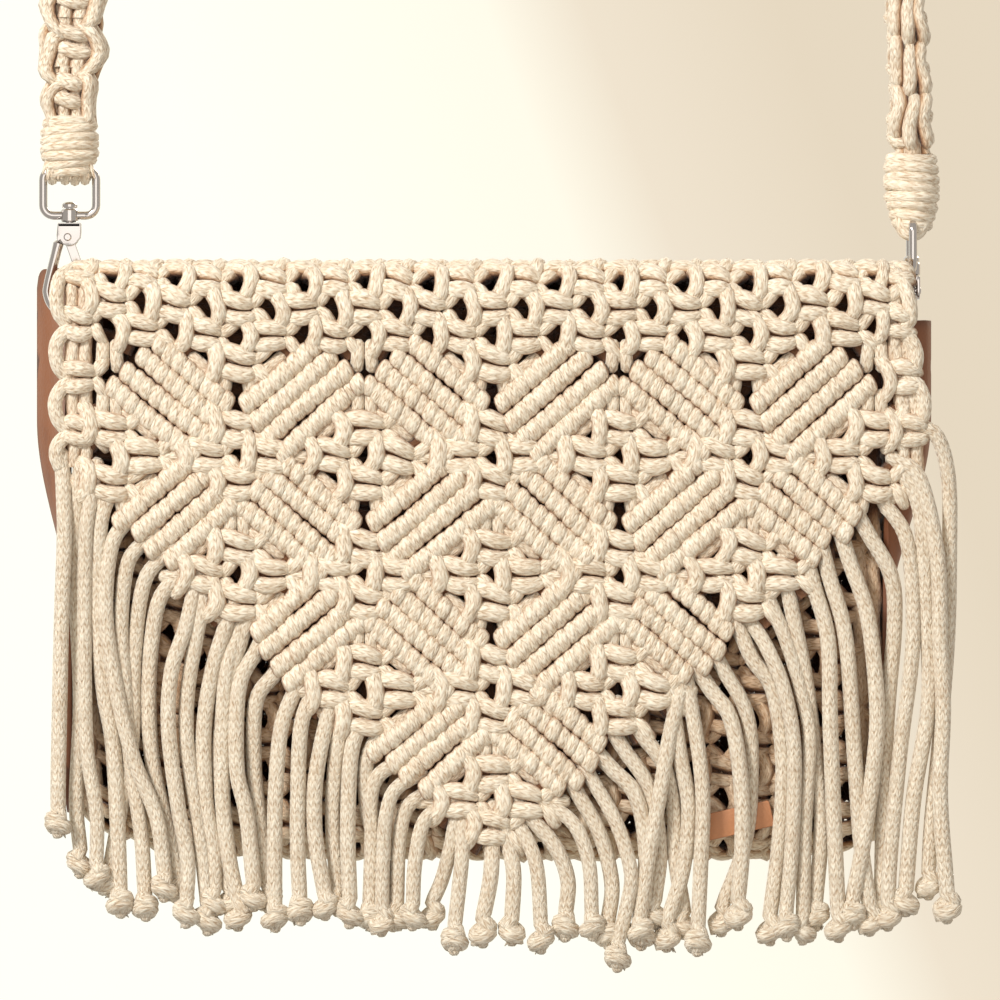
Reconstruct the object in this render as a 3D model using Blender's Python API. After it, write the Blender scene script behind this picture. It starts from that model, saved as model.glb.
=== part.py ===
"""Macrame shoulder bag, hung from the top of its strap. Metres, +Z up, flap towards -Y."""

import math

import bmesh
import bpy
from mathutils import Matrix, Vector
from mathutils.geometry import delaunay_2d_cdt

# Sizes of the bag
flap_left = 0.1408
flap_right = 0.1386
flap_plate = 0.0045
lattice_half_width = 0.1224
lattice_top = 0.0240
lattice_height = 0.1488
tip_margin = 0.0096
flap_tip_drop = lattice_top + lattice_height + tip_margin
body_left = 0.1344
body_right = 0.1250
body_height = 0.1930
body_depth = 0.0400
body_wall = 0.0060
body_corner = 0.0140
back_bulge = 0.0030
mouth_drop = 0.0140
front_face = -0.0190
seam_gap = 0.0003
fold_radius = 0.0055
fold_rise = 0.0025
fold_pull = 0.0110
fold_room = 0.0033

# Sizes of the knots
cord = 0.0050
bar_length = 0.0340
bar_pitch = 0.0065
bar_width = 0.0056
bar_rise = 0.0035
bar_slope = math.radians(40.8)
knot_width = 0.0150
knot_height = 0.0072
knot_rise = 0.0030
knot_pitch = 0.0205
net_row = 0.0086
bars_in_arm = 4
lattice_columns = 7
lattice_rows = 5

# Sizes of the fringe
fringe_drop = flap_tip_drop + 0.0406
strand_count = 54
strand_width = 0.0038
fringe_knot_width = 0.0047
fringe_knot_height = 0.0085
fringe_head = 0.0050
fringe_thick = 0.0045
fringe_back = 0.0018
edge_gap = 0.0008

# Sizes of the leather
leather = 0.0022
gusset_corner = 0.0060
hole_half_depth = 0.0048
hole_half_height = 0.0048
label_width = 0.0230
label_height = 0.0085
label_thick = 0.0012
label_x = 0.0785
label_lift = 0.0140
label_drop = body_height - label_lift
gusset_lift = 0.0135
hole_shift_left = 0.0002
hole_shift_right = 0.0026
hole_lift = 0.0004
label_tilt = math.radians(13)

# Sizes of the rings and hooks
wire = 0.0027
ring_width = 0.0198
ring_height = 0.0176
ring_bend = 0.0032
boss_radius = 0.0028
boss_height = 0.0042
post_radius = 0.0013
post_head = 0.0020
turn_gap = 0.0003
yoke_width = 0.0074
yoke_height = 0.0078
yoke_depth = 0.0052
pin_radius = 0.0010
pin_drop = 0.0070
pin_head = 0.0004
eye_radius = 0.0019
gate_width = 0.0030
gate_thick = 0.0020
gate_length = 0.0188
gate_slope = math.radians(19.5)
hook_bar = 0.0032
hook_length = 0.0319
reach_left = 0.1365
reach_right = 0.1356
rise_left = 0.0157
rise_right = -0.0016

# Sizes of the strap
strap_width = 0.0200
strap_thick = 0.0130
hang_height = 0.4600
wound_width = 0.0182
wound_thick = 0.0172
wound_left = 0.0225
wound_right = 0.0285
wound_lift = 0.0045

# The two hooks: sideways place, height over the fold, turn, length of winding, shift of the hole
HOOKS = {
    "left": {"x": -reach_left, "rise": rise_left, "turn": 0.0, "wound": wound_left, "hole": -hole_shift_left},
    "right": {"x": reach_right, "rise": rise_right, "turn": math.pi / 2, "wound": wound_right,
              "hole": -hole_shift_right},
}

# Heights of the lattice rows as shares of its height
ROW_SHARES = (0.0, 0.258, 0.514, 0.762, 1.0)

# Lower edge of one half of the flap: share of half its width, share of the tip's drop
EDGE_STEPS = (
    (1.000, 0.365),
    (0.900, 0.440),
    (0.700, 0.558),
    (0.600, 0.594),
    (0.556, 0.668),
    (0.445, 0.756),
    (0.350, 0.785),
    (0.300, 0.812),
    (0.268, 0.868),
    (0.150, 0.955),
    (0.060, 0.988),
)

# Loops of the right edge: share of the flap's drop, share of a cord that the edge stands in
EDGE_LOOPS = ((0.02, 1.2), (0.075, 0.1), (0.130, 0.9), (0.180, 0.0), (0.225, 0.8), (0.29, -0.3), (0.34, 0.3))

# Bottom of the pouch: share of its width, share of its height that it stands up
BOTTOM = ((0.0, 0.083), (0.04, 0.045), (0.11, 0.016), (0.22, 0.004), (0.38, 0.0), (0.55, 0.0),
          (0.72, 0.0), (0.86, 0.002), (0.95, 0.012), (1.0, 0.034))

# Lower end of the fringe: share of its width, share of its drop
FRINGE_ENDS = ((0.0, 0.815), (0.04, 0.890), (0.095, 0.940), (0.17, 0.958), (0.30, 0.945),
               (0.40, 0.956), (0.47, 0.982), (0.63, 1.0), (0.74, 0.984), (0.91, 0.962), (1.0, 0.94))

# Longer and shorter strands in turn, as shares of a knot's height
STRAND_STEPS = (0.0, -0.5, 0.35, -0.7, 0.15, -0.3, 0.5)

# Pleat of each gusset: share of its depth, share of its depth that it stands out at the top
PLEATS = {
    "left": ((0.0, 0.0), (0.125, 0.02), (0.24, 0.035), (0.345, 0.050), (0.435, 0.060), (0.55, 0.075),
             (0.725, 0.145), (0.87, 0.23), (1.0, 0.29)),
    "right": ((0.0, 0.0), (0.125, 0.26), (0.24, 0.335), (0.375, 0.335), (0.460, 0.12), (0.55, 0.10),
              (0.725, 0.07), (0.87, 0.03), (1.0, 0.0)),
}

# Path of one side of the strap: share of half its span, share of its rise
STRAP_SIDE = ((1.0, 0.0), (0.975, 0.20), (0.94, 0.42), (0.89, 0.62), (0.79, 0.80), (0.60, 0.925),
              (0.32, 0.985), (0.0, 1.0))

# Winding of a strap end: share of its length, share of its width, share of its thickness
WINDING = ((0.0, 0.50, 0.40), (0.05, 0.66, 0.52), (0.30, 0.68, 0.62), (0.36, 0.90, 0.86),
           (0.60, 1.0, 1.0), (0.85, 0.97, 0.97), (1.0, 0.84, 0.84))

# Bent bar of a hook, from the yoke to the nose, in shares of the hook's length: sideways, below the ring
HOOK_PATH = ((-0.113, 0.282), (-0.141, 0.392), (-0.216, 0.705), (-0.219, 0.803), (-0.176, 0.906),
             (-0.091, 0.978), (0.009, 1.0), (0.107, 0.978), (0.182, 0.915), (0.204, 0.846))

COLOURS = {
    "cotton": (0.87, 0.79, 0.66, 0.0, 0.9),
    "leather": (0.36, 0.16, 0.08, 0.0, 0.55),
    "tan": (0.62, 0.33, 0.17, 0.0, 0.6),
    "nickel": (0.75, 0.73, 0.72, 1.0, 0.2),
}

fold_z = -hang_height


def clear_scene():
    for obj in list(bpy.data.objects):
        bpy.data.objects.remove(obj, do_unlink=True)


def material(name):
    if name in bpy.data.materials:
        return bpy.data.materials[name]
    red, green, blue, metallic, roughness = COLOURS[name]
    made = bpy.data.materials.new(name)
    made.use_nodes = True
    shader = made.node_tree.nodes["Principled BSDF"]
    shader.inputs["Base Color"].default_value = (red, green, blue, 1.0)
    shader.inputs["Metallic"].default_value = metallic
    shader.inputs["Roughness"].default_value = roughness
    return made


def new_object(name, points, faces, slot):
    mesh = bpy.data.meshes.new(name)
    mesh.from_pydata([tuple(p) for p in points], [], faces)
    work = bmesh.new()
    work.from_mesh(mesh)
    bmesh.ops.recalc_face_normals(work, faces=work.faces)
    if work.calc_volume(signed=True) < 0:
        bmesh.ops.reverse_faces(work, faces=work.faces)
    work.to_mesh(mesh)
    work.free()
    mesh.materials.append(material(slot))
    obj = bpy.data.objects.new(name, mesh)
    bpy.context.collection.objects.link(obj)
    return obj


def combine(target, other, operation):
    cut = target.modifiers.new(operation.lower(), "BOOLEAN")
    cut.operation = operation
    cut.solver = "EXACT"
    cut.object = other
    other.hide_render = True
    other.display_type = "WIRE"


def read_table(rows, share):
    """Straight run between the two rows on either side of share."""
    for (a, low), (b, high) in zip(rows, rows[1:]):
        if share <= b:
            return low + (high - low) * max(0.0, share - a) / (b - a)
    return rows[-1][1]


def smooth_path(points, steps):
    """A round curve through the points, with a number of steps between each two."""
    line = [points[0] + points[0] - points[1]] + list(points) + [points[-1] + points[-1] - points[-2]]
    found = []
    for i in range(1, len(line) - 2):
        a, b, c, d = line[i - 1:i + 3]
        for k in range(steps):
            t = k / steps
            found.append(0.5 * (2 * b + (c - a) * t + (2 * a - 5 * b + 4 * c - d) * t * t
                                + (3 * b - a - 3 * c + d) * t ** 3))
    found.append(points[-1])
    return found


def loft(name, rings, slot, closed=False):
    """A solid through rings of points, with flat ends unless the rings join up."""
    count = len(rings[0])
    points = [p for ring in rings for p in ring]
    faces = []
    last = len(rings) if closed else len(rings) - 1
    for i in range(last):
        a = i * count
        b = ((i + 1) % len(rings)) * count
        for j in range(count):
            k = (j + 1) % count
            faces.append((a + j, a + k, b + k, b + j))
    if not closed:
        faces.append(tuple(range(count - 1, -1, -1)))
        faces.append(tuple(range((len(rings) - 1) * count, len(rings) * count)))
    return new_object(name, points, faces, slot)


def turned(name, profile, sides, slot, place):
    """A turned solid from rows of radius and height."""
    rings = []
    for radius, height in profile:
        ring = []
        for k in range(sides):
            angle = 2 * math.pi * (k + 0.5) / sides
            ring.append(place(radius * math.cos(angle), radius * math.sin(angle), height))
        rings.append(ring)
    return loft(name, rings, slot)


def inside(x, y, loop):
    found = False
    for (ax, ay), (bx, by) in zip(loop, loop[1:] + loop[:1]):
        if (ay > y) != (by > y) and x < ax + (bx - ax) * (y - ay) / (by - ay):
            found = not found
    return found


def bump_height(bump, x, y):
    dx = x - bump["x"]
    dy = y - bump["y"]
    along = abs(dx * math.cos(bump["turn"]) + dy * math.sin(bump["turn"]))
    across = abs(dy * math.cos(bump["turn"]) - dx * math.sin(bump["turn"]))
    taper = bump["wide"] / 2
    side = 1 - across / (bump["wide"] / 2)
    end = (bump["long"] / 2 - along) / taper
    return bump["rise"] * max(0.0, min(side, end, 1.0))


def plate(name, outline, gaps, bumps, folds, thick, place, slot):
    """A sheet cut to an outline and gaps, with ridged bumps on its front, bent by place(x, y, out)."""
    points = []
    edges = []

    def add_loop(loop):
        start = len(points)
        points.extend(Vector(p) for p in loop)
        edges.extend((start + i, start + (i + 1) % len(loop)) for i in range(len(loop)))

    add_loop(outline)
    for gap in gaps:
        add_loop(gap)
    for bump in bumps:
        along = Vector((math.cos(bump["turn"]), math.sin(bump["turn"])))
        across = Vector((-along.y, along.x)) * bump["wide"] / 2
        middle = Vector((bump["x"], bump["y"]))
        end = along * bump["long"] / 2
        crest = along * (bump["long"] - bump["wide"]) / 2
        start = len(points)
        points.extend((middle - end - across, middle + end - across, middle + end + across,
                       middle - end + across, middle - crest, middle + crest))
        edges.extend((start + a, start + b) for a, b in
                     ((0, 1), (1, 2), (2, 3), (3, 0), (4, 5), (0, 4), (3, 4), (1, 5), (2, 5)))
    far = max(abs(p[0]) for p in outline) + thick
    for height in folds:
        start = len(points)
        points.extend((Vector((-far, height)), Vector((far, height))))
        edges.append((start, start + 1))
    boxes = [(min(p[0] for p in g), max(p[0] for p in g), min(p[1] for p in g), max(p[1] for p in g), g)
             for g in gaps]

    def solid(x, y):
        if not inside(x, y, outline):
            return False
        return not any(a < x < b and c < y < d and inside(x, y, g) for a, b, c, d, g in boxes)

    def kept(found, triangles):
        for tri in triangles:
            middle = (found[tri[0]] + found[tri[1]] + found[tri[2]]) / 3
            if solid(middle.x, middle.y):
                yield tuple(tri)

    found, _, triangles = delaunay_2d_cdt(points, edges, [], 0, 2e-5)[:3]
    front = list(kept(found, triangles))
    sides = {}
    for tri in front:
        for a, b in zip(tri, tri[1:] + tri[:1]):
            if (b, a) in sides:
                del sides[(b, a)]
            else:
                sides[(a, b)] = True
    rim = sorted({i for side in sides for i in side})
    number = {old: new for new, old in enumerate(rim)}
    back_points = [found[i] for i in rim]
    back_edges = [(number[a], number[b]) for a, b in sides]
    for height in folds:
        line = sorted((i for i in rim if abs(found[i].y - height) < 1e-6), key=lambda i: found[i].x)
        for a, b in zip(line, line[1:]):
            if solid((found[a].x + found[b].x) / 2, height) and (a, b) not in sides and (b, a) not in sides:
                back_edges.append((number[a], number[b]))
    back_found, _, back_triangles = delaunay_2d_cdt(back_points, back_edges, [], 0, 2e-6)[:3]
    back = list(kept(back_found, back_triangles))
    used = sorted({i for tri in front for i in tri})
    index = {old: new for new, old in enumerate(used)}
    solid_points = []
    for i in used:
        x, y = found[i]
        rise = max((bump_height(b, x, y) for b in bumps), default=0.0)
        solid_points.append(place(x, y, thick + rise))
    base = len(solid_points)
    solid_points.extend(place(p.x, p.y, 0.0) for p in back_found)
    faces = [tuple(index[i] for i in tri) for tri in front]
    faces.extend((base + c, base + b, base + a) for a, b, c in back)
    faces.extend((index[b], index[a], base + number[a], base + number[b]) for a, b in sides)
    return new_object(name, solid_points, faces, slot)


def diamond(x, y, wide, high):
    return [(x, y - high / 2), (x + wide / 2, y), (x, y + high / 2), (x - wide / 2, y)]


def lattice_point(column, row):
    x = lattice_half_width * (2 * column / (lattice_columns - 1) - 1)
    return x, lattice_top + lattice_height * ROW_SHARES[row]


def flap_edge():
    """The stepped lower edge from left to right, as sideways place and drop below the fold."""
    left = [(-flap_left * share, flap_tip_drop * drop) for share, drop in EDGE_STEPS]
    right = [(flap_right * share, flap_tip_drop * drop) for share, drop in reversed(EDGE_STEPS)]
    return left + [(0.0, flap_tip_drop)] + right


def flap_bend():
    """Lengths round the inside of the fold: the front bend, the flat top, the back bend."""
    flat = body_depth - body_wall + flap_plate - 2 * seam_gap - 2 * fold_radius - fold_room
    return fold_radius * math.pi / 2, flat


def flap_place(x, drop, out):
    """The flap's cloth round the top: drop counts down the front from the top of the front bend."""
    bend, flat = flap_bend()
    face = front_face - seam_gap
    top = -flap_plate - fold_rise
    if drop >= 0:
        y, z = face - out, top - fold_radius - drop
    elif drop >= -bend:
        angle = -drop / fold_radius
        y = face + fold_radius - (fold_radius + out) * math.cos(angle)
        z = top - fold_radius + (fold_radius + out) * math.sin(angle)
    elif drop >= -bend - flat:
        y, z = face + fold_radius - drop - bend, top + out
    else:
        angle = (-drop - bend - flat) / fold_radius
        y = face + fold_radius + flat + (fold_radius + out) * math.sin(angle)
        z = top - fold_radius + (fold_radius + out) * math.cos(angle)
    return Vector((x, y, fold_z + z))


def lattice_nodes():
    for row in range(lattice_rows):
        reach = max(0, row - 1) if row < lattice_rows - 1 else row - 1
        for column in range(reach, lattice_columns - reach):
            yield column, row


def fitted(bump, outline):
    """The bump, drawn back from the end that would stand over the outline."""
    along = Vector((math.cos(bump["turn"]), math.sin(bump["turn"])))
    across = Vector((-along.y, along.x)) * (bump["wide"] / 2 + seam_gap)
    middle = Vector((bump["x"], bump["y"]))
    reach = []
    for way in (-1, 1):
        length = bump["long"] / 2
        while length > 0:
            end = middle + along * way * (length + seam_gap)
            corners = (end + across, end - across)
            if all(p.y > 0 and inside(p.x, p.y, outline) for p in corners):
                break
            length -= 0.05 * bump["long"]
        reach.append(max(0.0, length))
    shifted = middle + along * (reach[1] - reach[0]) / 2
    return bump | {"x": shifted.x, "y": shifted.y, "long": reach[0] + reach[1]}


def make_flap():
    bend, flat = flap_bend()
    start = flap_plate + fold_rise + fold_radius
    gaps = []
    bumps = []

    def bump(x, drop, long, wide, rise, turn):
        bumps.append({"x": x, "y": drop - start, "long": long, "wide": wide, "rise": rise, "turn": turn})

    def gap(x, drop, wide, high):
        gaps.append(diamond(x, drop - start, wide, high))

    for column, row in lattice_nodes():
        x, drop = lattice_point(column, row)
        crossing = (column + row) % 2 == 0
        side = -1 if column == 0 else 1 if column == lattice_columns - 1 else 0
        gap(x, drop, 0.8 * cord, 1.4 * cord)
        for sx, sy in ((-1, 0), (1, 0), (0, -1), (0, 1)):
            if crossing and row == 0 and sy == 1:
                continue
            bump(x + sx * knot_pitch / 2, drop + sy * net_row, knot_width, knot_height, knot_rise, 0.0)
        for sx in (-1, 1):
            if sx == side:
                continue
            if row > 0:
                gap(x + sx * 1.8 * cord, drop - 1.35 * cord, 0.55 * cord, 0.8 * cord)
            if not crossing and 0 < row < 4:
                gap(x + sx * 1.8 * cord, drop + 1.35 * cord, 0.55 * cord, 0.8 * cord)
        if not crossing and row < lattice_rows - 2 or crossing and row == 0 and side == 0:
            below = lattice_point(column, row + 1)[1]
            if row < 2 or column == (lattice_columns - 1) / 2:
                gap(x, (drop + below) / 2 - 0.3 * cord, 0.55 * cord, 1.0 * cord)
    for row in range(lattice_rows - 1):
        for column in range(max(0, row - 1), min(lattice_columns - 1, lattice_columns - row)):
            down = (column + row) % 2 == 0
            x0, top = lattice_point(column, row)
            x1, low = lattice_point(column + 1, row + 1)
            turn = bar_slope if down else -bar_slope
            for k in range(bars_in_arm):
                step = (k - (bars_in_arm - 1) / 2) * bar_pitch
                bump((x0 + x1) / 2 - math.sin(turn) * step, (top + low) / 2 + math.cos(turn) * step,
                     bar_length, bar_width, bar_rise, turn)
    across = round((flap_left + flap_right) / knot_pitch)
    for line in range(2):
        for k in range(across - 1 - line):
            x = (k - (across - 2 - line) / 2) * knot_pitch
            gap(x, lattice_top - (1 + line) * net_row, 0.7 * cord, 0.8 * cord)
    for side, edge in ((-1, flap_left), (1, flap_right)):
        for k in range(5):
            bump(side * (edge - 0.5 * knot_width), lattice_top + (k + 1) * net_row * 0.95, knot_width * 0.7,
                 knot_height * 0.8, knot_rise, 0.0)
    back = -bend - flat - bend
    edge = flap_edge()
    loops = [(flap_right - cord * inward, flap_tip_drop * drop) for drop, inward in EDGE_LOOPS]
    outline = [(-flap_left + fold_pull, back), (-flap_left + 1.25 * fold_pull, -bend - flat / 2),
               (-flap_left + fold_pull, -bend), (-flap_left + 0.65 * fold_pull, 0.0), (-flap_left, 0.6 * bend)]
    outline += [(x, drop - start) for x, drop in edge]
    outline += [(x, max(drop - start, 0.0)) for x, drop in reversed(loops)]
    outline += [(flap_right - fold_pull, -bend / 2), (flap_right - fold_pull, -bend),
                (flap_right - 0.9 * fold_pull, -bend - flat / 2), (flap_right - fold_pull, back)]
    within = [b for b in (fitted(b, outline) for b in bumps) if b["long"] > 1.5 * b["wide"]]
    gaps = [g for g in gaps if all(inside(x, y, outline) for x, y in g)]
    folds = [-bend * k / 4 for k in range(5)] + [-bend - flat - bend * k / 4 for k in range(4)]
    plate("flap", outline, gaps, within, folds, flap_plate, flap_place, "cotton")


def make_fringe():
    """Strips side by side under the flap's edge, joined by a head along it."""
    left = -flap_left + strand_width
    right = flap_right + strand_width

    def place(x, drop, out):
        return Vector((x, front_face - fringe_back - out, fold_z - drop))

    head = [(x, drop + edge_gap) for x, drop in flap_edge()]
    top_row = [(x, drop + edge_gap + fringe_head) for x, drop in flap_edge()]
    outline = list(head)
    for k in reversed(range(strand_count)):
        share = k / (strand_count - 1)
        pitch = (flap_left + flap_right - 2 * strand_width) / (strand_count - 1)
        x = -flap_left + strand_width + pitch * k
        end_x = left + (right - left) * share
        low = fringe_drop * read_table(FRINGE_ENDS, share)
        low += fringe_knot_height * STRAND_STEPS[k % len(STRAND_STEPS)]
        half = strand_width / 2
        wide = fringe_knot_width / 2
        neck = low - fringe_knot_height
        outline.extend(((x + half, read_table(top_row, x + half)), (end_x + half, neck),
                        (end_x + wide, neck + 0.4 * fringe_knot_height), (end_x, low),
                        (end_x - wide, neck + 0.4 * fringe_knot_height), (end_x - half, neck),
                        (x - half, read_table(top_row, x - half))))
    plate("fringe", outline, [], [], [], fringe_thick, place, "cotton")


def pouch_section(share, inner):
    """The pouch's U at one place along its width, from the front edge round to the back edge."""
    bulge = back_bulge * 4 * share * (1 - share)
    bottom = -body_height * (1 - read_table(BOTTOM, share))
    set_in = body_wall if inner else 0.0
    front = front_face + set_in
    back = front_face + body_depth - set_in
    radius = body_corner - set_in
    rows = [(front, -mouth_drop), (front, -0.5 * body_height)]
    for k in range(5):
        angle = math.pi / 2 * k / 4
        rows.append((front + radius * (1 - math.cos(angle)), bottom + set_in + radius * (1 - math.sin(angle))))
    for k in range(5):
        angle = math.pi / 2 * k / 4
        rows.append((back - radius * (1 - math.sin(angle)), bottom + set_in + radius * (1 - math.cos(angle))))
    rows.append((back + bulge, -0.5 * body_height))
    rows.append((back, -flap_plate - fold_rise - fold_radius - seam_gap))
    return rows


def make_pouch():
    rings = []
    for share in [row[0] for row in BOTTOM]:
        x = -body_left + (body_left + body_right) * share
        outer = pouch_section(share, False)
        inner = pouch_section(share, True)
        rings.append([Vector((x, y, fold_z + z)) for y, z in outer + inner[::-1]])
    return loft("pouch", rings, "cotton")


def make_gusset(side):
    """Leather end wall, pleated at the top, with the hole that the hook goes through."""
    sign = -1 if side == "left" else 1
    hook = HOOKS[side]
    share_of_body = 0.0 if side == "left" else 1.0
    end = (body_left if side == "left" else body_right) + seam_gap + leather / 2
    bottom = -body_height * (1 - read_table(BOTTOM, share_of_body))
    crown = hook["rise"] - hook_length + hook_bar / 2 + gusset_lift
    rows = 13
    pleat = PLEATS[side]
    grid = []
    for j in range(rows):
        down = j / (rows - 1)
        line = []
        for depth_share, _ in pleat:
            y = front_face + body_depth * depth_share
            rim = min(body_depth * depth_share, body_depth * (1 - depth_share))
            short = max(0.0, body_corner - rim)
            low = bottom + body_corner - math.sqrt(body_corner ** 2 - short ** 2)
            round_off = max(0.0, gusset_corner - rim)
            high = crown - gusset_corner + math.sqrt(gusset_corner ** 2 - round_off ** 2)
            z = high + (low - high) * down
            line.append((y, z))
        grid.append(line)

    def wall_point(j, i):
        y, z = grid[j][i]
        fade = min(1.0, max(0.0, (z + 0.62 * body_height) / (0.36 * body_height)))
        return Vector((end + body_depth * pleat[i][1] * fade * fade * (3 - 2 * fade), y, z))

    points = []
    for face in (1, -1):
        for j in range(rows):
            for i in range(len(pleat)):
                p = wall_point(j, i)
                ahead = wall_point(j, min(i + 1, len(pleat) - 1))
                behind = wall_point(j, max(i - 1, 0))
                along = ahead - behind
                normal = Vector((along.y, -along.x, 0)).normalized()
                moved = p + normal * face * leather / 2
                if i in (0, len(pleat) - 1):
                    moved = p + Vector((face * leather / 2, 0, 0))
                points.append(Vector((sign * moved.x, moved.y, fold_z + moved.z)))
    wide = len(pleat)
    count = rows * wide
    faces = []
    for j in range(rows - 1):
        for i in range(wide - 1):
            a = j * wide + i
            faces.append((a, a + 1, a + wide + 1, a + wide))
            faces.append((count + a, count + a + wide, count + a + wide + 1, count + a + 1))
    rim_line = [i for i in range(wide)] + [j * wide + wide - 1 for j in range(1, rows)]
    rim_line += [(rows - 1) * wide + i for i in range(wide - 2, -1, -1)] + [j * wide for j in range(rows - 2, 0, -1)]
    for a, b in zip(rim_line, rim_line[1:] + rim_line[:1]):
        faces.append((a, count + a, count + b, b))
    gusset = new_object("gusset_" + side, points, faces, "leather")
    centre_z = fold_z + hook["rise"] - hook_length + hole_lift

    def hole_place(a, b, height):
        return Vector((hook["x"] + height, hook["hole"] + a, centre_z + b * hole_half_height / hole_half_depth))

    reach = body_depth / 2
    cutter = turned("hole_cutter_" + side, ((hole_half_depth, -reach), (hole_half_depth, reach)), 16, "leather",
                    hole_place)
    combine(gusset, cutter, "DIFFERENCE")


def make_label():
    turn = Matrix.Rotation(-label_tilt, 4, "Y")

    def place(x, y, out):
        flat = turn @ Vector((x, 0, y))
        return Vector((label_x + flat.x, front_face - seam_gap - out, fold_z - label_drop + flat.z))

    corner = 0.12 * label_height
    wide = label_width / 2
    high = label_height / 2
    outline = [(-wide + corner, -high), (wide - corner, -high), (wide, -high + corner), (wide, high - corner),
               (wide - corner, high), (-wide + corner, high), (-wide, high - corner), (-wide, -high + corner)]
    plate("label", outline, [], [], [], label_thick, place, "tan")


def hook_frame(side):
    """Turns a place in a hook's own plane (sideways, depth, up) into the bag's."""
    hook = HOOKS[side]
    turn = Matrix.Rotation(hook["turn"], 3, "Z")
    origin = Vector((hook["x"], 0, fold_z + hook["rise"]))

    def place(a, b, height):
        return origin + turn @ Vector((a, b, height))

    return place


def tube(name, path, width, depth, sides, slot, place, closed=False):
    """A bar of elliptical section along a path in the hook's plane."""
    rings = []
    count = len(path)
    for i, p in enumerate(path):
        ahead = path[(i + 1) % count] if closed else path[min(i + 1, count - 1)]
        behind = path[i - 1] if closed else path[max(i - 1, 0)]
        along = (ahead - behind).normalized()
        normal = Vector((along.y, -along.x))
        ring = []
        for k in range(sides):
            angle = 2 * math.pi * (k + 0.5) / sides
            out = p + normal * width / 2 * math.cos(angle)
            ring.append(place(out.x, depth / 2 * math.sin(angle), out.y))
        rings.append(ring)
    return loft(name, rings, slot, closed)


def make_ring(side):
    place = hook_frame(side)
    half = (ring_width - wire) / 2
    high = ring_height - wire
    path = []
    for cx, cy, start in ((half, 0.0, -90), (half, high, 0), (-half, high, 90), (-half, 0.0, 180)):
        inner = Vector((cx - math.copysign(ring_bend, cx), ring_bend if cy == 0.0 else high - ring_bend))
        for k in range(5):
            angle = math.radians(start + 22.5 * k)
            path.append(inner + Vector((math.cos(angle), math.sin(angle))) * ring_bend)
    ring = tube("ring_" + side, path, wire, wire, 8, "nickel", place, True)
    boss = turned("boss_" + side, ((boss_radius, -boss_height / 2), (boss_radius, boss_height / 2)), 14, "nickel",
                  place)
    bore = post_radius + turn_gap
    cutter = turned("bore_cutter_" + side, ((bore, -boss_height), (bore, boss_height)), 12, "nickel", place)
    combine(ring, boss, "UNION")
    combine(ring, cutter, "DIFFERENCE")


def yoke_top():
    return boss_height / 2 + turn_gap


def make_hook(side):
    place = hook_frame(side)
    top = yoke_top()
    gap = gate_thick / 2 + turn_gap

    def upright(x, y, out):
        return place(x, out - yoke_depth / 2, y)

    wide = yoke_width / 2
    low = -top - yoke_height
    outline = [(-wide, -top), (-wide - 0.0003, low + 0.001), (-wide + 0.001, low), (wide - 0.0022, low),
               (wide, low + 0.0025), (wide, -top)]
    hook = plate("hook_" + side, outline, [], [], [], yoke_depth, upright, "nickel")
    slot_left = -yoke_width / 2 + 0.0012
    slot_line = [(slot_left, low - 0.002), (yoke_width, low - 0.002), (yoke_width, -pin_drop + eye_radius + turn_gap),
                 (slot_left, -pin_drop + eye_radius + turn_gap)]
    slot = plate("slot_cutter_" + side, slot_line, [], [], [], 2 * gap,
                 lambda x, y, out: place(x, out - gap, y), "nickel")
    post = turned("post_" + side, ((post_radius, -top - 0.0006), (post_radius, top), (boss_radius - 0.0004, top),
                                   (boss_radius - 0.0004, top + post_head * 0.7), (post_radius, top + post_head)),
                  12, "nickel", place)
    points = [Vector((a, -drop)) * hook_length for a, drop in HOOK_PATH]
    nose = Vector((pin_place(0), -pin_drop)) + gate_way() * (gate_length + 0.0004)
    bar = tube("bar_" + side, smooth_path(points + [nose], 2), hook_bar, hook_bar, 6, "nickel", place)
    reach = yoke_depth / 2 + pin_head
    pin = turned("pin_" + side, ((pin_radius * 1.3, -reach), (pin_radius * 1.5, -yoke_depth / 2 + 0.0001),
                                 (pin_radius, -yoke_depth / 2 + 0.0002), (pin_radius, yoke_depth / 2 - 0.0002),
                                 (pin_radius * 1.5, yoke_depth / 2 - 0.0001), (pin_radius * 1.3, reach)), 10, "nickel",
                 lambda a, b, height: place(pin_place(a), height, -pin_drop + b))
    combine(hook, slot, "DIFFERENCE")
    combine(hook, post, "UNION")
    combine(hook, bar, "UNION")
    combine(hook, pin, "UNION")
    set_origin(hook, place(0, 0, 0))


def pin_place(a):
    return a - 0.0005


def gate_way():
    return Vector((math.sin(gate_slope), -math.cos(gate_slope)))


def make_gate(side):
    place = hook_frame(side)
    along = gate_way()
    across = Vector((-along.y, along.x))
    pin = Vector((pin_place(0), -pin_drop))
    outline = []
    spread = math.asin(gate_width / 2 / eye_radius)
    for k in range(9):
        angle = spread + (2 * math.pi - 2 * spread) * k / 8
        outline.append(pin + (along * math.cos(angle) + across * math.sin(angle)) * eye_radius)
    outline.append(pin + along * gate_length - across * gate_width / 2)
    outline.append(pin + along * gate_length + across * gate_width / 2)
    hole = [pin + Vector((math.cos(a), math.sin(a))) * (pin_radius + turn_gap)
            for a in (2 * math.pi * k / 10 for k in range(10))]
    gate = plate("gate_" + side, [tuple(p) for p in outline], [[tuple(p) for p in hole]], [], [], gate_thick,
                 lambda x, y, out: place(x, out - gate_thick / 2, y), "nickel")
    set_origin(gate, place(pin.x, 0, pin.y))


def set_origin(obj, spot):
    obj.data.transform(Matrix.Translation(-spot))
    obj.location = spot


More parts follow.
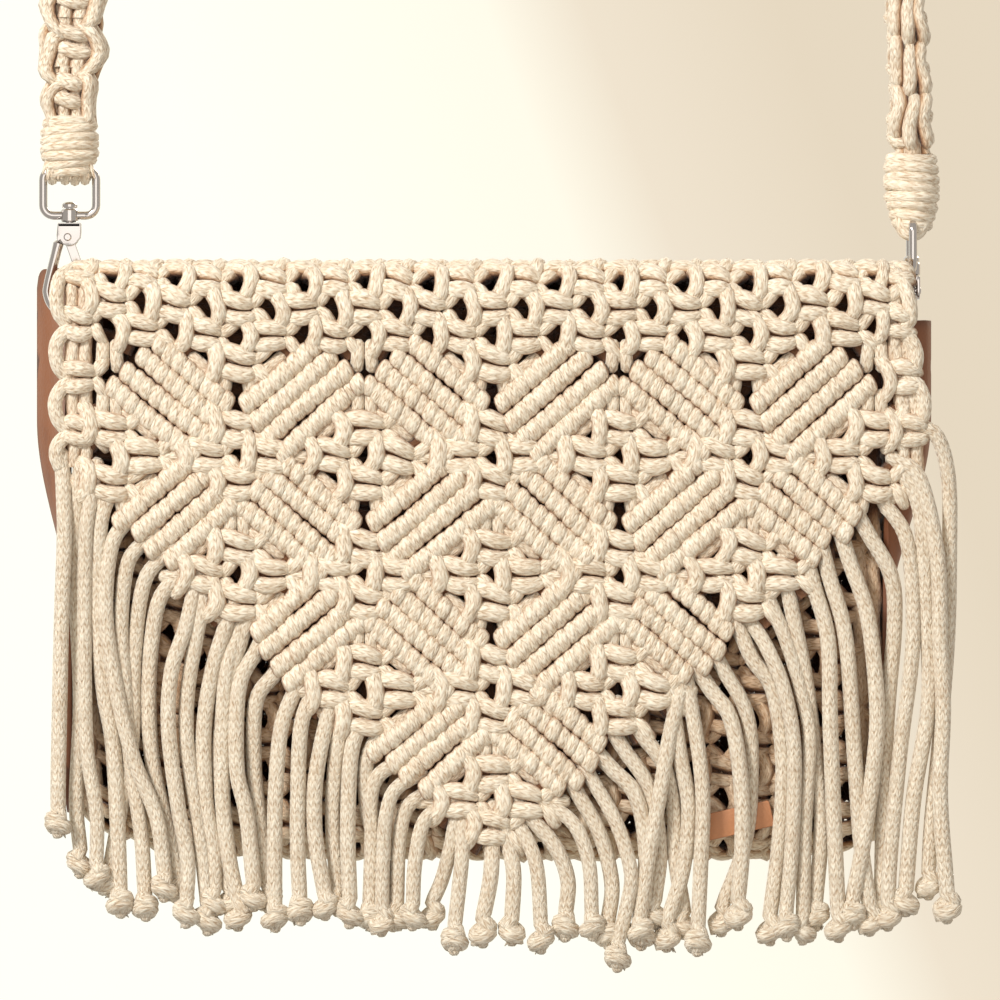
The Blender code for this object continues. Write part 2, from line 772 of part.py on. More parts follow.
def make_winding(side):
    place = hook_frame(side)
    bar_height = ring_height - wire
    low = yoke_top() + post_head + wound_lift
    length = HOOKS[side]["wound"]
    rings = []
    for share, width, depth in WINDING:
        ring = []
        for k in range(14):
            angle = 2 * math.pi * (k + 0.5) / 14
            ring.append(place(wound_width / 2 * width * math.cos(angle), wound_thick / 2 * depth * math.sin(angle),
                              low + length * share))
        rings.append(ring)
    winding = loft("whipping_" + side, rings, "cotton")
    bore = wire / 2 + seam_gap
    cutter = turned("bar_cutter_" + side, ((bore, -ring_width), (bore, ring_width)), 10, "cotton",
                    lambda a, b, height: place(height, a, bar_height + b))
    combine(winding, cutter, "DIFFERENCE")
    return low + length


def make_strap(tops):
    """A band from winding to winding. It turns a quarter round on the way."""
    line = []
    peak = strap_thick / 2
    for side, order in (("left", 1), ("right", -1)):
        hook = HOOKS[side]
        start = fold_z + hook["rise"] + tops[side] + seam_gap
        half = [Vector((hook["x"] * share, 0, start + (peak - start) * rise)) for share, rise in STRAP_SIDE]
        line += half if order == 1 else half[::-1][1:]
    path = smooth_path(line, 3)
    rings = []
    shape = ((1.0, 0.42), (0.55, 1.0), (-0.55, 1.0), (-1.0, 0.42), (-1.0, -0.42), (-0.55, -1.0), (0.55, -1.0),
             (1.0, -0.42))
    for i, p in enumerate(path):
        along = (path[min(i + 1, len(path) - 1)] - path[max(i - 1, 0)]).normalized()
        if i in (0, len(path) - 1):
            along = Vector((0, 0, 1 if i == 0 else -1))
        share = min(1.0, max(0.0, (i / (len(path) - 1) - 0.08) / 0.30))
        turn = math.pi / 2 * share * share * (3 - 2 * share)
        depth = Vector((0, 1, 0))
        side_way = depth.cross(along).normalized()
        wide = side_way * math.cos(turn) + depth * math.sin(turn)
        deep = depth * math.cos(turn) - side_way * math.sin(turn)
        end_taper = 0.86 if i in (0, len(path) - 1) else 1.0
        rings.append([p + wide * a * strap_width / 2 * end_taper + deep * b * strap_thick / 2 for a, b in shape])
    loft("strap", rings, "cotton")


clear_scene()
make_flap()
make_fringe()
make_pouch()
make_label()
winding_tops = {}
for side_name in HOOKS:
    make_gusset(side_name)
    make_ring(side_name)
    make_hook(side_name)
    make_gate(side_name)
    winding_tops[side_name] = make_winding(side_name)
make_strap(winding_tops)
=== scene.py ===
"""Macrame shoulder bag: the knots, cords, leather and metal that are seen, built on the CAD frame."""

import math

import bmesh
import bpy
import numpy as np
from mathutils import Matrix, Vector


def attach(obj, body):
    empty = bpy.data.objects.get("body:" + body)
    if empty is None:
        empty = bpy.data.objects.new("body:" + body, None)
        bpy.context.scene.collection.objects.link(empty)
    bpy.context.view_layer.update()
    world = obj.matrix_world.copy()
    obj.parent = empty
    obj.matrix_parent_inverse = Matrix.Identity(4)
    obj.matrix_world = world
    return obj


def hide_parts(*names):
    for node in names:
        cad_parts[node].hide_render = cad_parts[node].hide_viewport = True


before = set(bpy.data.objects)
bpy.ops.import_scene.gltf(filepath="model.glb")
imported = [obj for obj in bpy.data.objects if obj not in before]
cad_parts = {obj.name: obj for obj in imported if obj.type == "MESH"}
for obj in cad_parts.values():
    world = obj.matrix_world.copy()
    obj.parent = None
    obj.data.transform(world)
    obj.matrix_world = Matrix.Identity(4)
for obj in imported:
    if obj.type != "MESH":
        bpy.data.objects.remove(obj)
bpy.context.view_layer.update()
chance = np.random.RandomState(11)

# Sizes of the bag, in metres
fold_z = -0.460
front_face = -0.0190
flap_left = 0.1408
flap_right = 0.1386
flap_plate = 0.0045
flap_tip_drop = 0.1824
body_left = 0.1344
body_right = 0.1250
body_height = 0.1930
body_depth = 0.0400
body_wall = 0.0060
body_corner = 0.0140
back_bulge = 0.0030
seam_gap = 0.0003
fold_radius = 0.0055
fold_rise = 0.0025
mid_out = 0.0040
start_drop = flap_plate + fold_rise + fold_radius

# Sizes of the knots
lattice_half = 0.1224
lattice_top = 0.0240
lattice_height = 0.1488
row_shares = (0.0, 0.258, 0.514, 0.762, 1.0)
knot_pitch = 2 * lattice_half / 12
net_row = 0.0087
bar_length = 0.0345
bar_pitch = 0.0065
bar_slope = math.radians(40.8)
wrap_pitch = 0.0038

EDGE_STEPS = (
    (1.000, 0.365),
    (0.900, 0.440),
    (0.700, 0.558),
    (0.600, 0.594),
    (0.556, 0.668),
    (0.445, 0.756),
    (0.350, 0.785),
    (0.300, 0.812),
    (0.268, 0.868),
    (0.150, 0.955),
    (0.060, 0.988),
)

# Square knot seen from the front, in millimetres: sideways, up, out. Rows of x, y, z along each cord
UPPER_BAR = ((-5.4, 4.0, 1.8), (-3.8, 3.9, 4.2), (-1.2, 3.3, 5.4), (1.5, 2.6, 5.4), (3.8, 2.1, 4.3), (5.3, 1.4, 2.0))
LOWER_BAR = ((-5.3, -1.5, 2.0), (-3.7, -2.1, 4.5), (-1.0, -2.7, 5.5), (1.7, -2.9, 5.3), (3.9, -2.6, 4.2),
             (5.3, -2.1, 2.0))
LEFT_LOOP = ((-9.2, 6.6, 3.0), (-7.6, 5.4, 4.6), (-6.2, 3.2, 5.7), (-5.7, 0.6, 6.1), (-6.0, -1.9, 5.8),
             (-7.3, -4.3, 4.5), (-9.2, -6.0, 2.8))
UPPER_STUB = ((9.9, 6.6, 3.0), (8.5, 4.8, 4.2), (7.0, 2.9, 4.5), (5.6, 1.4, 3.4))
LOWER_STUB = ((9.9, -6.3, 2.8), (8.5, -4.3, 4.0), (7.1, -2.4, 4.2), (5.7, -0.9, 3.2))
FILLER = ((6.4, 6.6, 1.9), (3.9, 3.4, 2.2), (2.1, 0.0, 2.4), (3.9, -3.4, 2.2), (6.4, -6.6, 1.9))
UPRIGHT = ((2.3, 12.4, 2.6), (2.2, 6.5, 3.4), (2.2, 0.0, 2.6), (2.2, -6.5, 3.4), (2.3, -12.4, 2.6))

# Side cords at the flap's two edges, in millimetres: sideways from the middle of the bag, drop, out
RIGHT_EDGE = (
    ((125.5, -2.5, 5.0), (130.5, 5.5, 5.4), (133.4, 12.5, 5.2), (133.8, 18.0, 4.8), (131.6, 21.0, 4.0)),
    ((130.5, 21.5, 4.2), (134.0, 25.0, 5.0), (135.8, 29.5, 5.2), (135.2, 34.0, 4.8), (132.8, 36.8, 3.8)),
    ((132.5, 36.5, 4.2), (136.4, 39.8, 4.8), (138.3, 44.5, 5.0), (137.8, 49.5, 4.6), (135.2, 53.0, 3.8)),
)
LEFT_EDGE = (
    ((-133.5, -2.0, 4.8), (-138.0, 4.0, 4.8), (-139.4, 10.5, 4.8), (-138.8, 16.0, 4.6), (-136.0, 19.8, 3.8)),
    ((-135.5, 21.0, 4.2), (-138.8, 25.0, 4.8), (-139.6, 29.0, 4.9), (-138.6, 33.6, 4.6), (-135.8, 36.8, 3.8)),
    ((-135.5, 38.0, 4.2), (-138.8, 42.0, 4.8), (-139.8, 46.0, 4.9), (-138.8, 50.4, 4.6), (-136.0, 53.8, 3.8)),
    ((-135.5, 55.0, 4.2), (-138.8, 58.4, 4.8), (-139.4, 62.0, 4.8), (-138.0, 66.0, 4.0)),
)


def smooth_line(points, steps):
    """A round curve through the points, with a number of steps between each two."""
    points = np.asarray(points, float)
    line = np.vstack([2 * points[0] - points[1], points, 2 * points[-1] - points[-2]])
    t = (np.arange(steps) / steps)[:, None]
    found = []
    for a, b, c, d in zip(line, line[1:], line[2:], line[3:]):
        found.append(0.5 * (2 * b + (c - a) * t + (2 * a - 5 * b + 4 * c - d) * t ** 2
                            + (3 * b - a - 3 * c + d) * t ** 3))
    return np.vstack(found + [points[-1:]])


def frames_along(line):
    """Unit vectors along and across a line, carried along it without twist."""
    along = np.gradient(line, axis=0)
    along /= np.linalg.norm(along, axis=1)[:, None] + 1e-12
    guess = np.array((0.0, -1.0, 0.0)) if abs(along[0][1]) < 0.8 else np.array((1.0, 0.0, 0.0))
    across = []
    for t in along:
        guess = guess - t * guess.dot(t)
        guess /= np.linalg.norm(guess)
        across.append(guess)
    across = np.array(across)
    return along, across, np.cross(along, across)


def tube(line, radius, sides=8, round_ends=True, flat=1.0, crest=None, girth=0.016):
    """Points, four-sided faces, face-corner coordinates and unshaded shares of a cord along a line. With a crest, the
    side turned away from it gets painted shade.
    """
    line = np.asarray(line, float)
    size = np.broadcast_to(np.asarray(radius, float), (len(line),)).copy()
    if round_ends:
        first = line[0] - line[1]
        last = line[-1] - line[-2]
        first *= 0.55 * size[0] / np.linalg.norm(first)
        last *= 0.55 * size[-1] / np.linalg.norm(last)
        line = np.vstack([line[0] + first, line[0] + 0.8 * first, line, line[-1] + 0.8 * last, line[-1] + last])
        size = np.concatenate([[0.1 * size[0], 0.62 * size[0]], size, [0.62 * size[-1], 0.1 * size[-1]]])
    _, across, third = frames_along(line)
    angle = 2 * np.pi * np.arange(sides) / sides
    ring = across[:, None] * np.cos(angle)[None, :, None] + third[:, None] * (flat * np.sin(angle))[None, :, None]
    points = line[:, None] + ring * size[:, None, None]
    run = np.concatenate([[0.0], np.cumsum(np.linalg.norm(np.diff(line, axis=0), axis=1))])
    shape = grid_faces(points, run, girth)
    if crest is None:
        return shape
    # painted shade: the side of the cord turned away from the crest gets a lower unshaded share, so a darker colour
    unshaded_share = np.clip(0.30 + 0.85 * ring @ np.array(crest, float), 0, 1)
    return shape[:3] + (unshaded_share.reshape(-1),)


def grid_faces(points, run, girth):
    """Faces of a closed band of rings. Coordinates are the way round and the way along, in the points' unit."""
    count, sides = points.shape[:2]
    i = np.arange(count - 1)[:, None]
    j = np.arange(sides)[None, :]
    k = (j + 1) % sides
    faces = np.stack([i * sides + j, i * sides + k, (i + 1) * sides + k, (i + 1) * sides + j], -1).reshape(-1, 4)
    low = np.broadcast_to(j / sides * girth, (count - 1, sides))
    high = np.broadcast_to((j + 1) / sides * girth, (count - 1, sides))
    near = np.broadcast_to(run[:-1, None], (count - 1, sides))
    far = np.broadcast_to(run[1:, None], (count - 1, sides))
    corners = np.stack([np.stack([low, near], -1), np.stack([high, near], -1), np.stack([high, far], -1),
                        np.stack([low, far], -1)], -2).reshape(-1, 4, 2)
    return points.reshape(-1, 3), faces, corners, np.ones(count * sides)


def joined(parts):
    """Several shapes as one."""
    points, faces, corners, unshaded_shares = [], [], [], []
    base = 0
    for p, f, c, o in parts:
        points.append(p)
        faces.append(f + base)
        corners.append(c)
        unshaded_shares.append(o)
        base += len(p)
    return np.vstack(points), np.vstack(faces), np.vstack(corners), np.concatenate(unshaded_shares)


def new_piece(name, shape, material, body="bag", nodes=()):
    """One mesh object from points, four-sided faces, corner coordinates and each point's unshaded share, the amount of
    painted shade it gets.
    """
    points, faces, corners, unshaded_shares = shape
    mesh = bpy.data.meshes.new(name)
    mesh.vertices.add(len(points))
    mesh.vertices.foreach_set("co", np.ascontiguousarray(points, np.float32).ravel())
    mesh.loops.add(faces.size)
    mesh.loops.foreach_set("vertex_index", np.ascontiguousarray(faces, np.int32).ravel())
    mesh.polygons.add(len(faces))
    mesh.polygons.foreach_set("loop_start", np.arange(0, faces.size, 4, dtype=np.int32))
    mesh.polygons.foreach_set("loop_total", np.full(len(faces), 4, np.int32))
    layer = mesh.uv_layers.new(name="along")
    layer.uv.foreach_set("vector", np.ascontiguousarray(corners, np.float32).ravel())
    mesh.update(calc_edges=True)
    # the attribute carries painted shade: 1 is unshaded, lower values are painted darker
    mesh.attributes.new("unshaded", "FLOAT", "POINT").data.foreach_set("value", unshaded_shares.astype(np.float32))
    mesh.shade_smooth()
    mesh.materials.append(material)
    return add_piece(name, mesh, body, nodes)


def add_piece(name, mesh, body, nodes):
    obj = bpy.data.objects.new(name, mesh)
    bpy.context.collection.objects.link(obj)
    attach(obj, body)
    if nodes:
        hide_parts(*nodes)
    return obj


def read_table(rows, share):
    return np.interp(share, [r[0] for r in rows], [r[1] for r in rows])


# Materials
def shader_tree(name):
    made = bpy.data.materials.new(name)
    made.use_nodes = True
    tree = made.node_tree
    return made, tree, tree.nodes["Principled BSDF"]


def node(tree, kind, links=None, **values):
    """A node with its settings, and its inputs by name: sockets are linked, numbers are set."""
    made = tree.nodes.new(kind)
    for key, value in values.items():
        setattr(made, key, value)
    for key, value in (links or {}).items():
        if isinstance(value, bpy.types.NodeSocket):
            tree.links.new(value, made.inputs[key])
        else:
            made.inputs[key].default_value = value
    return made


def sums(tree, operation, *values):
    made = tree.nodes.new("ShaderNodeMath")
    made.operation = operation
    for place, value in enumerate(values):
        if isinstance(value, bpy.types.NodeSocket):
            tree.links.new(value, made.inputs[place])
        else:
            made.inputs[place].default_value = value
    return made.outputs[0]


def ramp(tree, share, *stops):
    made = node(tree, "ShaderNodeValToRGB", {"Fac": share})
    while len(made.color_ramp.elements) < len(stops):
        made.color_ramp.elements.new(0.5)
    for element, (place, colour) in zip(made.color_ramp.elements, stops):
        element.position = place
        element.color = (*colour, 1.0)
    return made.outputs["Color"]


def noise(tree, where, scale, detail=3.0, rough=0.55):
    links = {"Vector": where, "Scale": scale, "Detail": detail, "Roughness": rough}
    return node(tree, "ShaderNodeTexNoise", links).outputs["Fac"]


def cotton(name, wale=0.0020, stitch=0.0025, depth=0.00045, tint=(1.0, 1.0, 1.0), dark=1.0):
    """Braided cotton cord: rows of V-shaped stitches round and along the cord, with fine fibres. The colour holds
    painted shade: darker in the low parts of the stitches, and darker still where a point's unshaded share is low.
    """
    made, tree, surface = shader_tree(name)
    place = node(tree, "ShaderNodeUVMap", uv_map="along").outputs["UV"]
    split = node(tree, "ShaderNodeSeparateXYZ", {"Vector": place})
    body = node(tree, "ShaderNodeTexCoord").outputs["Object"]
    wobble = sums(tree, "MULTIPLY", sums(tree, "SUBTRACT", noise(tree, body, 520.0, 1.0), 0.5), 0.8)
    column = sums(tree, "FRACT", sums(tree, "DIVIDE", split.outputs["X"], wale))
    side = sums(tree, "ABSOLUTE", sums(tree, "SUBTRACT", sums(tree, "MULTIPLY", column, 2.0), 1.0))
    row = sums(tree, "DIVIDE", split.outputs["Y"], stitch)
    phase = sums(tree, "FRACT", sums(tree, "ADD", sums(tree, "MULTIPLY_ADD", side, 0.62, row), wobble))
    ridge = sums(tree, "SUBTRACT", 1.0, sums(tree, "ABSOLUTE", sums(tree, "MULTIPLY_ADD", phase, 2.0, -1.0)))
    groove = sums(tree, "SUBTRACT", 1.0, sums(tree, "POWER", side, 4.0))
    stitched = sums(tree, "MULTIPLY", sums(tree, "POWER", ridge, 0.55), sums(tree, "MULTIPLY_ADD", groove, 0.4, 0.6))
    leaning = sums(tree, "MULTIPLY_ADD", side, 0.62 * stitch, split.outputs["Y"])
    lay = node(tree, "ShaderNodeCombineXYZ", {"X": sums(tree, "MULTIPLY", leaning, 520.0),
                                               "Y": sums(tree, "MULTIPLY", split.outputs["X"], 2100.0),
                                               "Z": sums(tree, "MULTIPLY", split.outputs["Y"], 90.0)})
    fibre = noise(tree, lay.outputs["Vector"], 1.0, 3.0, 0.62)
    fleck = node(tree, "ShaderNodeMapRange", {"Value": fibre, "From Min": 0.34, "From Max": 0.52}).outputs["Result"]
    height = sums(tree, "ADD", sums(tree, "MULTIPLY", stitched, 0.50), sums(tree, "MULTIPLY", fleck, 0.42))
    patch = noise(tree, body, 110.0, 1.0)
    shade = sums(tree, "ADD", sums(tree, "MULTIPLY", height, 0.86), sums(tree, "MULTIPLY", patch, 0.26))

    def tone(*colour):
        return tuple(c * t * dark for c, t in zip(colour, tint))

    # painted shade: the colour goes dark brown where the stitch and fibre height is low, as shade in the grooves; the
    # large patches are the cord's own uneven tone
    colour = ramp(tree, shade, (0.16, tone(0.47, 0.30, 0.17)), (0.42, tone(0.70, 0.55, 0.385)),
                  (0.66, tone(0.84, 0.73, 0.57)), (0.92, tone(0.95, 0.88, 0.735)))
    # painted shade: the colour is multiplied down to near black brown where the unshaded share is low, in crevices,
    # behind bars and under the flap
    unshaded_input = node(tree, "ShaderNodeAttribute", attribute_name="unshaded").outputs["Fac"]
    painted_cavity_shade = ramp(tree, unshaded_input, (0.0, (0.07, 0.028, 0.016)), (0.16, (0.30, 0.16, 0.095)),
                  (0.40, (0.70, 0.52, 0.39)), (0.78, (1.0, 1.0, 1.0)))
    colour = node(tree, "ShaderNodeMix", {0: 1.0, 6: colour, 7: painted_cavity_shade}, data_type="RGBA",
                  blend_type="MULTIPLY").outputs[2]
    bump = node(tree, "ShaderNodeBump", {"Height": height, "Strength": 0.9, "Distance": depth})
    tree.links.new(colour, surface.inputs["Base Color"])
    tree.links.new(bump.outputs["Normal"], surface.inputs["Normal"])
    surface.inputs["Roughness"].default_value = 0.88
    surface.inputs["Specular IOR Level"].default_value = 0.25
    surface.inputs["Sheen Weight"].default_value = 0.25
    surface.inputs["Sheen Roughness"].default_value = 0.5
    return made


def hide(name, light, dark_tone, edge):
    """Leather with grain, pores, soft patches and darker cut edges."""
    made, tree, surface = shader_tree(name)
    body = node(tree, "ShaderNodeTexCoord").outputs["Object"]
    cells = node(tree, "ShaderNodeTexVoronoi", {"Vector": body, "Scale": 900.0}, feature="F1").outputs["Distance"]
    grain = noise(tree, body, 520.0, 4.0, 0.6)
    patch = noise(tree, body, 38.0, 3.0)
    lines = noise(tree, node(tree, "ShaderNodeMapping", {"Vector": body, "Scale": (1.0, 1.0, 0.2)}).outputs[0], 160.0)
    share = sums(tree, "ADD", sums(tree, "MULTIPLY", patch, 0.55),
                 sums(tree, "ADD", sums(tree, "MULTIPLY", grain, 0.25), sums(tree, "MULTIPLY", lines, 0.25)))
    colour = ramp(tree, share, (0.25, dark_tone), (0.5, light), (0.8, tuple(min(1.0, c * 1.18) for c in light)))
    point = node(tree, "ShaderNodeNewGeometry").outputs["Pointiness"]
    rim = ramp(tree, point, (0.50, (0.0, 0.0, 0.0)), (0.56, (1.0, 1.0, 1.0)))
    mixed = node(tree, "ShaderNodeMix", {6: colour, 7: (*edge, 1.0), 0: rim}, data_type="RGBA").outputs[2]
    height = sums(tree, "ADD", sums(tree, "MULTIPLY", cells, 0.9), sums(tree, "MULTIPLY", grain, 0.6))
    bump = node(tree, "ShaderNodeBump", {"Height": height, "Strength": 0.35, "Distance": 0.0003})
    tree.links.new(mixed, surface.inputs["Base Color"])
    tree.links.new(bump.outputs["Normal"], surface.inputs["Normal"])
    rough = sums(tree, "MULTIPLY_ADD", grain, 0.25, 0.40)
    tree.links.new(rough, surface.inputs["Roughness"])
    surface.inputs["Specular IOR Level"].default_value = 0.4
    return made


def polished(name, base=(0.66, 0.625, 0.605), rough=0.10):
    """Nickel plate with fine scratches and faint smears."""
    made, tree, surface = shader_tree(name)
    body = node(tree, "ShaderNodeTexCoord").outputs["Object"]
    smear = noise(tree, body, 140.0, 3.0)
    scratch = noise(tree, node(tree, "ShaderNodeMapping", {"Vector": body, "Scale": (1.0, 1.0, 14.0)}).outputs[0],
                    260.0, 2.0)
    colour = ramp(tree, smear, (0.3, tuple(c * 0.93 for c in base)), (0.7, base))
    rough_share = sums(tree, "MULTIPLY_ADD", smear, 0.10, rough - 0.03)
    bump = node(tree, "ShaderNodeBump", {"Height": scratch, "Strength": 0.05, "Distance": 0.0001})
    tree.links.new(colour, surface.inputs["Base Color"])
    tree.links.new(rough_share, surface.inputs["Roughness"])
    tree.links.new(bump.outputs["Normal"], surface.inputs["Normal"])
    surface.inputs["Metallic"].default_value = 1.0
    return made


cord_cotton = cotton("cord_cotton")
# the pouch net's copy of the cotton is tinted a little warmer all over: a painted warm shade
net_cotton = cotton("net_cotton", tint=(1.0, 0.97, 0.93))
thread_cotton = cotton("thread_cotton", wale=0.0016, stitch=0.0038, depth=0.0003)
strand_cotton = cotton("strand_cotton", dark=0.90)
brown_hide = hide("brown_hide", (0.27, 0.105, 0.046), (0.16, 0.056, 0.025), (0.10, 0.035, 0.016))
tan_hide = hide("tan_hide", (0.78, 0.40, 0.20), (0.60, 0.27, 0.12), (0.42, 0.17, 0.08))
nickel = polished("nickel_plate")


# Knots
def cord(line, sizes, steps, sides, crest=(0, 0, 1), round_ends=True):
    """A cord in millimetres through the points, as thick at each as the radii say."""
    path = smooth_line(line, steps)
    size = np.interp(np.linspace(0, 1, len(path)), np.linspace(0, 1, len(sizes)), sizes)
    return tube(path, size, sides, round_ends, crest=crest, girth=16.0)


def knot_shape(sides, steps, loop=True, stubs=True, fillers=FILLER, round_ends=True):
    """One square knot in millimetres: two bars over the fillers, a round loop on the left, two stubs on the right."""
    parts = [
        cord(UPPER_BAR, (1.7, 2.45, 2.72, 2.72, 2.4, 1.6), steps, sides),
        cord(LOWER_BAR, (1.7, 2.45, 2.70, 2.66, 2.3, 1.6), steps, sides),
    ]
    if loop:
        parts.append(cord(LEFT_LOOP, (2.1, 2.45, 2.62, 2.62, 2.62, 2.45, 2.1), steps, sides, round_ends=round_ends))
    if stubs:
        parts.append(cord(UPPER_STUB, (1.9, 2.3, 2.3, 2.0), max(1, steps - 1), sides, round_ends=round_ends))
        parts.append(cord(LOWER_STUB, (1.9, 2.2, 2.3, 2.0), max(1, steps - 1), sides, round_ends=round_ends))
    for way in (-1, 1):
        filler = cord(np.array(fillers) * (way, 1, 1), (2.5, 2.5), 1, max(5, sides - 2), round_ends=False)
        # painted shade: the fillers under the bars are painted near black, and lighter for the edge knots' upright
        # fillers
        filler_unshaded = 0.13 if fillers is FILLER else 0.75
        parts.append(filler[:3] + (0.0 * filler[3] + filler_unshaded,))
    points, faces, corners, unshaded_shares = joined(parts)
    # painted shade: every point is painted darker the lower it lies under the knot's top
    deep = np.clip((points[:, 2] - 2.4) / 3.0, 0.0, 1.0)
    return points / 1000, faces, corners / 1000, unshaded_shares * (0.25 + 0.75 * deep)


def placed_knots(shape, spots, place, widen=1.0, heighten=1.0, deepen=1.0, loose=1.0):
    """Copies of a knot at spots (sideways, drop), each a little different, bent by place(x, drop, out)."""
    points, faces, corners, unshaded_shares = shape
    parts = []
    for x, drop in spots:
        turn = chance.normal(0, 0.055) * loose
        grow = 1 + chance.normal(0, 0.035, 2) * loose
        wave = chance.uniform(0, 6.28, 3)
        p = points * (widen * grow[0], heighten * grow[1], deepen)
        bend = 0.00035 * loose
        side = p[:, 0] + bend * np.sin(p[:, 1] * 520 + wave[0])
        up = p[:, 1] + bend * np.sin(p[:, 0] * 430 + wave[1])
        out = p[:, 2] + 0.6 * bend * np.sin(p[:, 0] * 380 + p[:, 1] * 300 + wave[2])
        side, up = side * math.cos(turn) - up * math.sin(turn), side * math.sin(turn) + up * math.cos(turn)
        parts.append((place(x + side, drop - up, out), faces, corners + chance.uniform(0, 0.02, 2), unshaded_shares))
    return joined(parts)


def flap_place(x, drop, out):
    """A place on the flap: drop counts down from the top of the front bend, out from the inner face."""
    x, drop, out = np.broadcast_arrays(np.asarray(x, float), np.asarray(drop, float), np.asarray(out, float))
    bend = (fold_radius + mid_out) * np.pi / 2
    flat = body_depth - body_wall + flap_plate - 2 * seam_gap - 2 * fold_radius - 0.0033
    face = front_face - seam_gap
    top = -flap_plate - fold_rise
    first = -drop / (fold_radius + mid_out)
    second = (-drop - bend - flat) / (fold_radius + mid_out)
    y = np.select(
        [drop >= 0, drop >= -bend, drop >= -bend - flat],
        [face - out, face + fold_radius - (fold_radius + out) * np.cos(first), face + fold_radius - drop - bend],
        face + fold_radius + flat + (fold_radius + out) * np.sin(second))
    z = np.select(
        [drop >= 0, drop >= -bend, drop >= -bend - flat],
        [top - fold_radius - drop, top - fold_radius + (fold_radius + out) * np.sin(first), top + out],
        top - fold_radius + (fold_radius + out) * np.cos(second))
    return np.stack([x, y, fold_z + z], -1)


def lattice_point(column, row):
    return lattice_half * (2 * column / 6 - 1), lattice_top + lattice_height * row_shares[row]


def flap_edge():
    left = [(-flap_left * share, flap_tip_drop * drop) for share, drop in EDGE_STEPS]
    right = [(flap_right * share, flap_tip_drop * drop) for share, drop in reversed(EDGE_STEPS)]
    return left + [(0.0, flap_tip_drop)] + right


def edge_drop(x):
    return read_table(flap_edge(), x)


def net_spots():
    """Where the knots of the net over the fold are, apart from the two edge columns."""
    spots = []
    for line in range(8):
        half = 6 if line % 2 else 7
        for k in range(-half, half + (1 if line % 2 else 0)):
            x = k * knot_pitch if line % 2 else (k + 0.5) * knot_pitch
            drop = lattice_top - line * net_row
            lift = 0.0036 * max(0.0, (abs(x) - 0.085) / 0.05) if line < 3 else 0.0
            room = 0.0021 if x > 0.12 and line > 2 else 0.0
            if abs(x) < 0.128:
                spots.append((x - room, drop - lift - start_drop))
    return spots


def lattice_spots():
    """Where the knots round each crossing of the lattice are."""
    spots = []
    for row in range(5):
        reach = max(0, row - 1) if row < 4 else row - 1
        for column in range(reach, 7 - reach):
            x, drop = lattice_point(column, row)
            if row == 0:
                if (column + row) % 2:
                    spots.append((x, drop + net_row))
                continue
            for sx, sy in ((-1, 0), (1, 0), (0, -1), (0, 1)):
                spots.append((x + sx * knot_pitch / 2, drop + sy * net_row))
    return [(x, drop - start_drop) for x, drop in spots if drop < edge_drop(x) - 0.0005 and abs(x) < 0.128]


def edge_spots(side):
    """The column of knots along one edge of the flap, and up over the fold."""
    x = -0.1322 if side == "left" else 0.1306
    lean = 0.0 if side == "left" else 0.00185
    return [(x + lean * max(0, k), 0.0200 + k * 0.0172 - start_drop) for k in range(-3, 3)]


def upright_cords():
    """Short pairs of cords below the net where the bars part, and the cords along the two edges."""
    parts = []

    def short_cord(x, drop, rows, light):
        rows = np.array(rows) / 1000
        if drop + rows[:, 1].max() > edge_drop(x) + 0.002 or abs(x) > 0.128:
            return
        path = flap_place(x + rows[:, 0], drop + rows[:, 1] - start_drop, rows[:, 2])
        shape = tube(smooth_line(path, 3), 0.0023, 7)
        # painted shade: light scales the cord's unshaded share, so these short cords between the knots are painted
        # darker
        parts.append(shape[:3] + (shape[3] * light,))

    for row in range(5):
        for column in range(7):
            x, drop = lattice_point(column, row)
            for side in (-1, 1):
                if (column + row) % 2 == 0:
                    if row == 0:
                        short_cord(x, drop, ((side * 2.1, 2.0, 3.0), (side * 2.2, 6.0, 4.0), (side * 2.6, 10.2, 3.0)), 0.9)
                    continue
                short_cord(x, drop, ((side * 4.0, 11.6, 2.8), (side * 3.7, 14.4, 3.6), (side * 4.2, 17.4, 2.6)), 0.80)
                diagonal = ((side * 4.0, 14.6, 2.6), (side * 9.2, 10.7, 3.3), (side * 14.4, 6.2, 2.6))
                short_cord(x, drop, diagonal, 0.72)
                if row:
                    short_cord(x, drop, [(a, -b, c) for a, b, c in diagonal], 0.72)
                    short_cord(x, drop, ((side * 2.1, -20.5, 3.0), (side * 2.1, -17.0, 3.9), (side * 2.3, -13.2, 3.0)), 0.9)
                    short_cord(x + side * lattice_half / 6, drop, ((-3.4, 0.2, 2.8), (0.0, 0.0, 3.7), (3.4, -0.2, 2.8)), 0.8)
    for rows in RIGHT_EDGE + LEFT_EDGE:
        line = smooth_line(np.array(rows) / 1000, 4)
        parts.append(tube(flap_place(line[:, 0], line[:, 1] - start_drop, line[:, 2]), 0.0024, 9))
    return joined(parts)


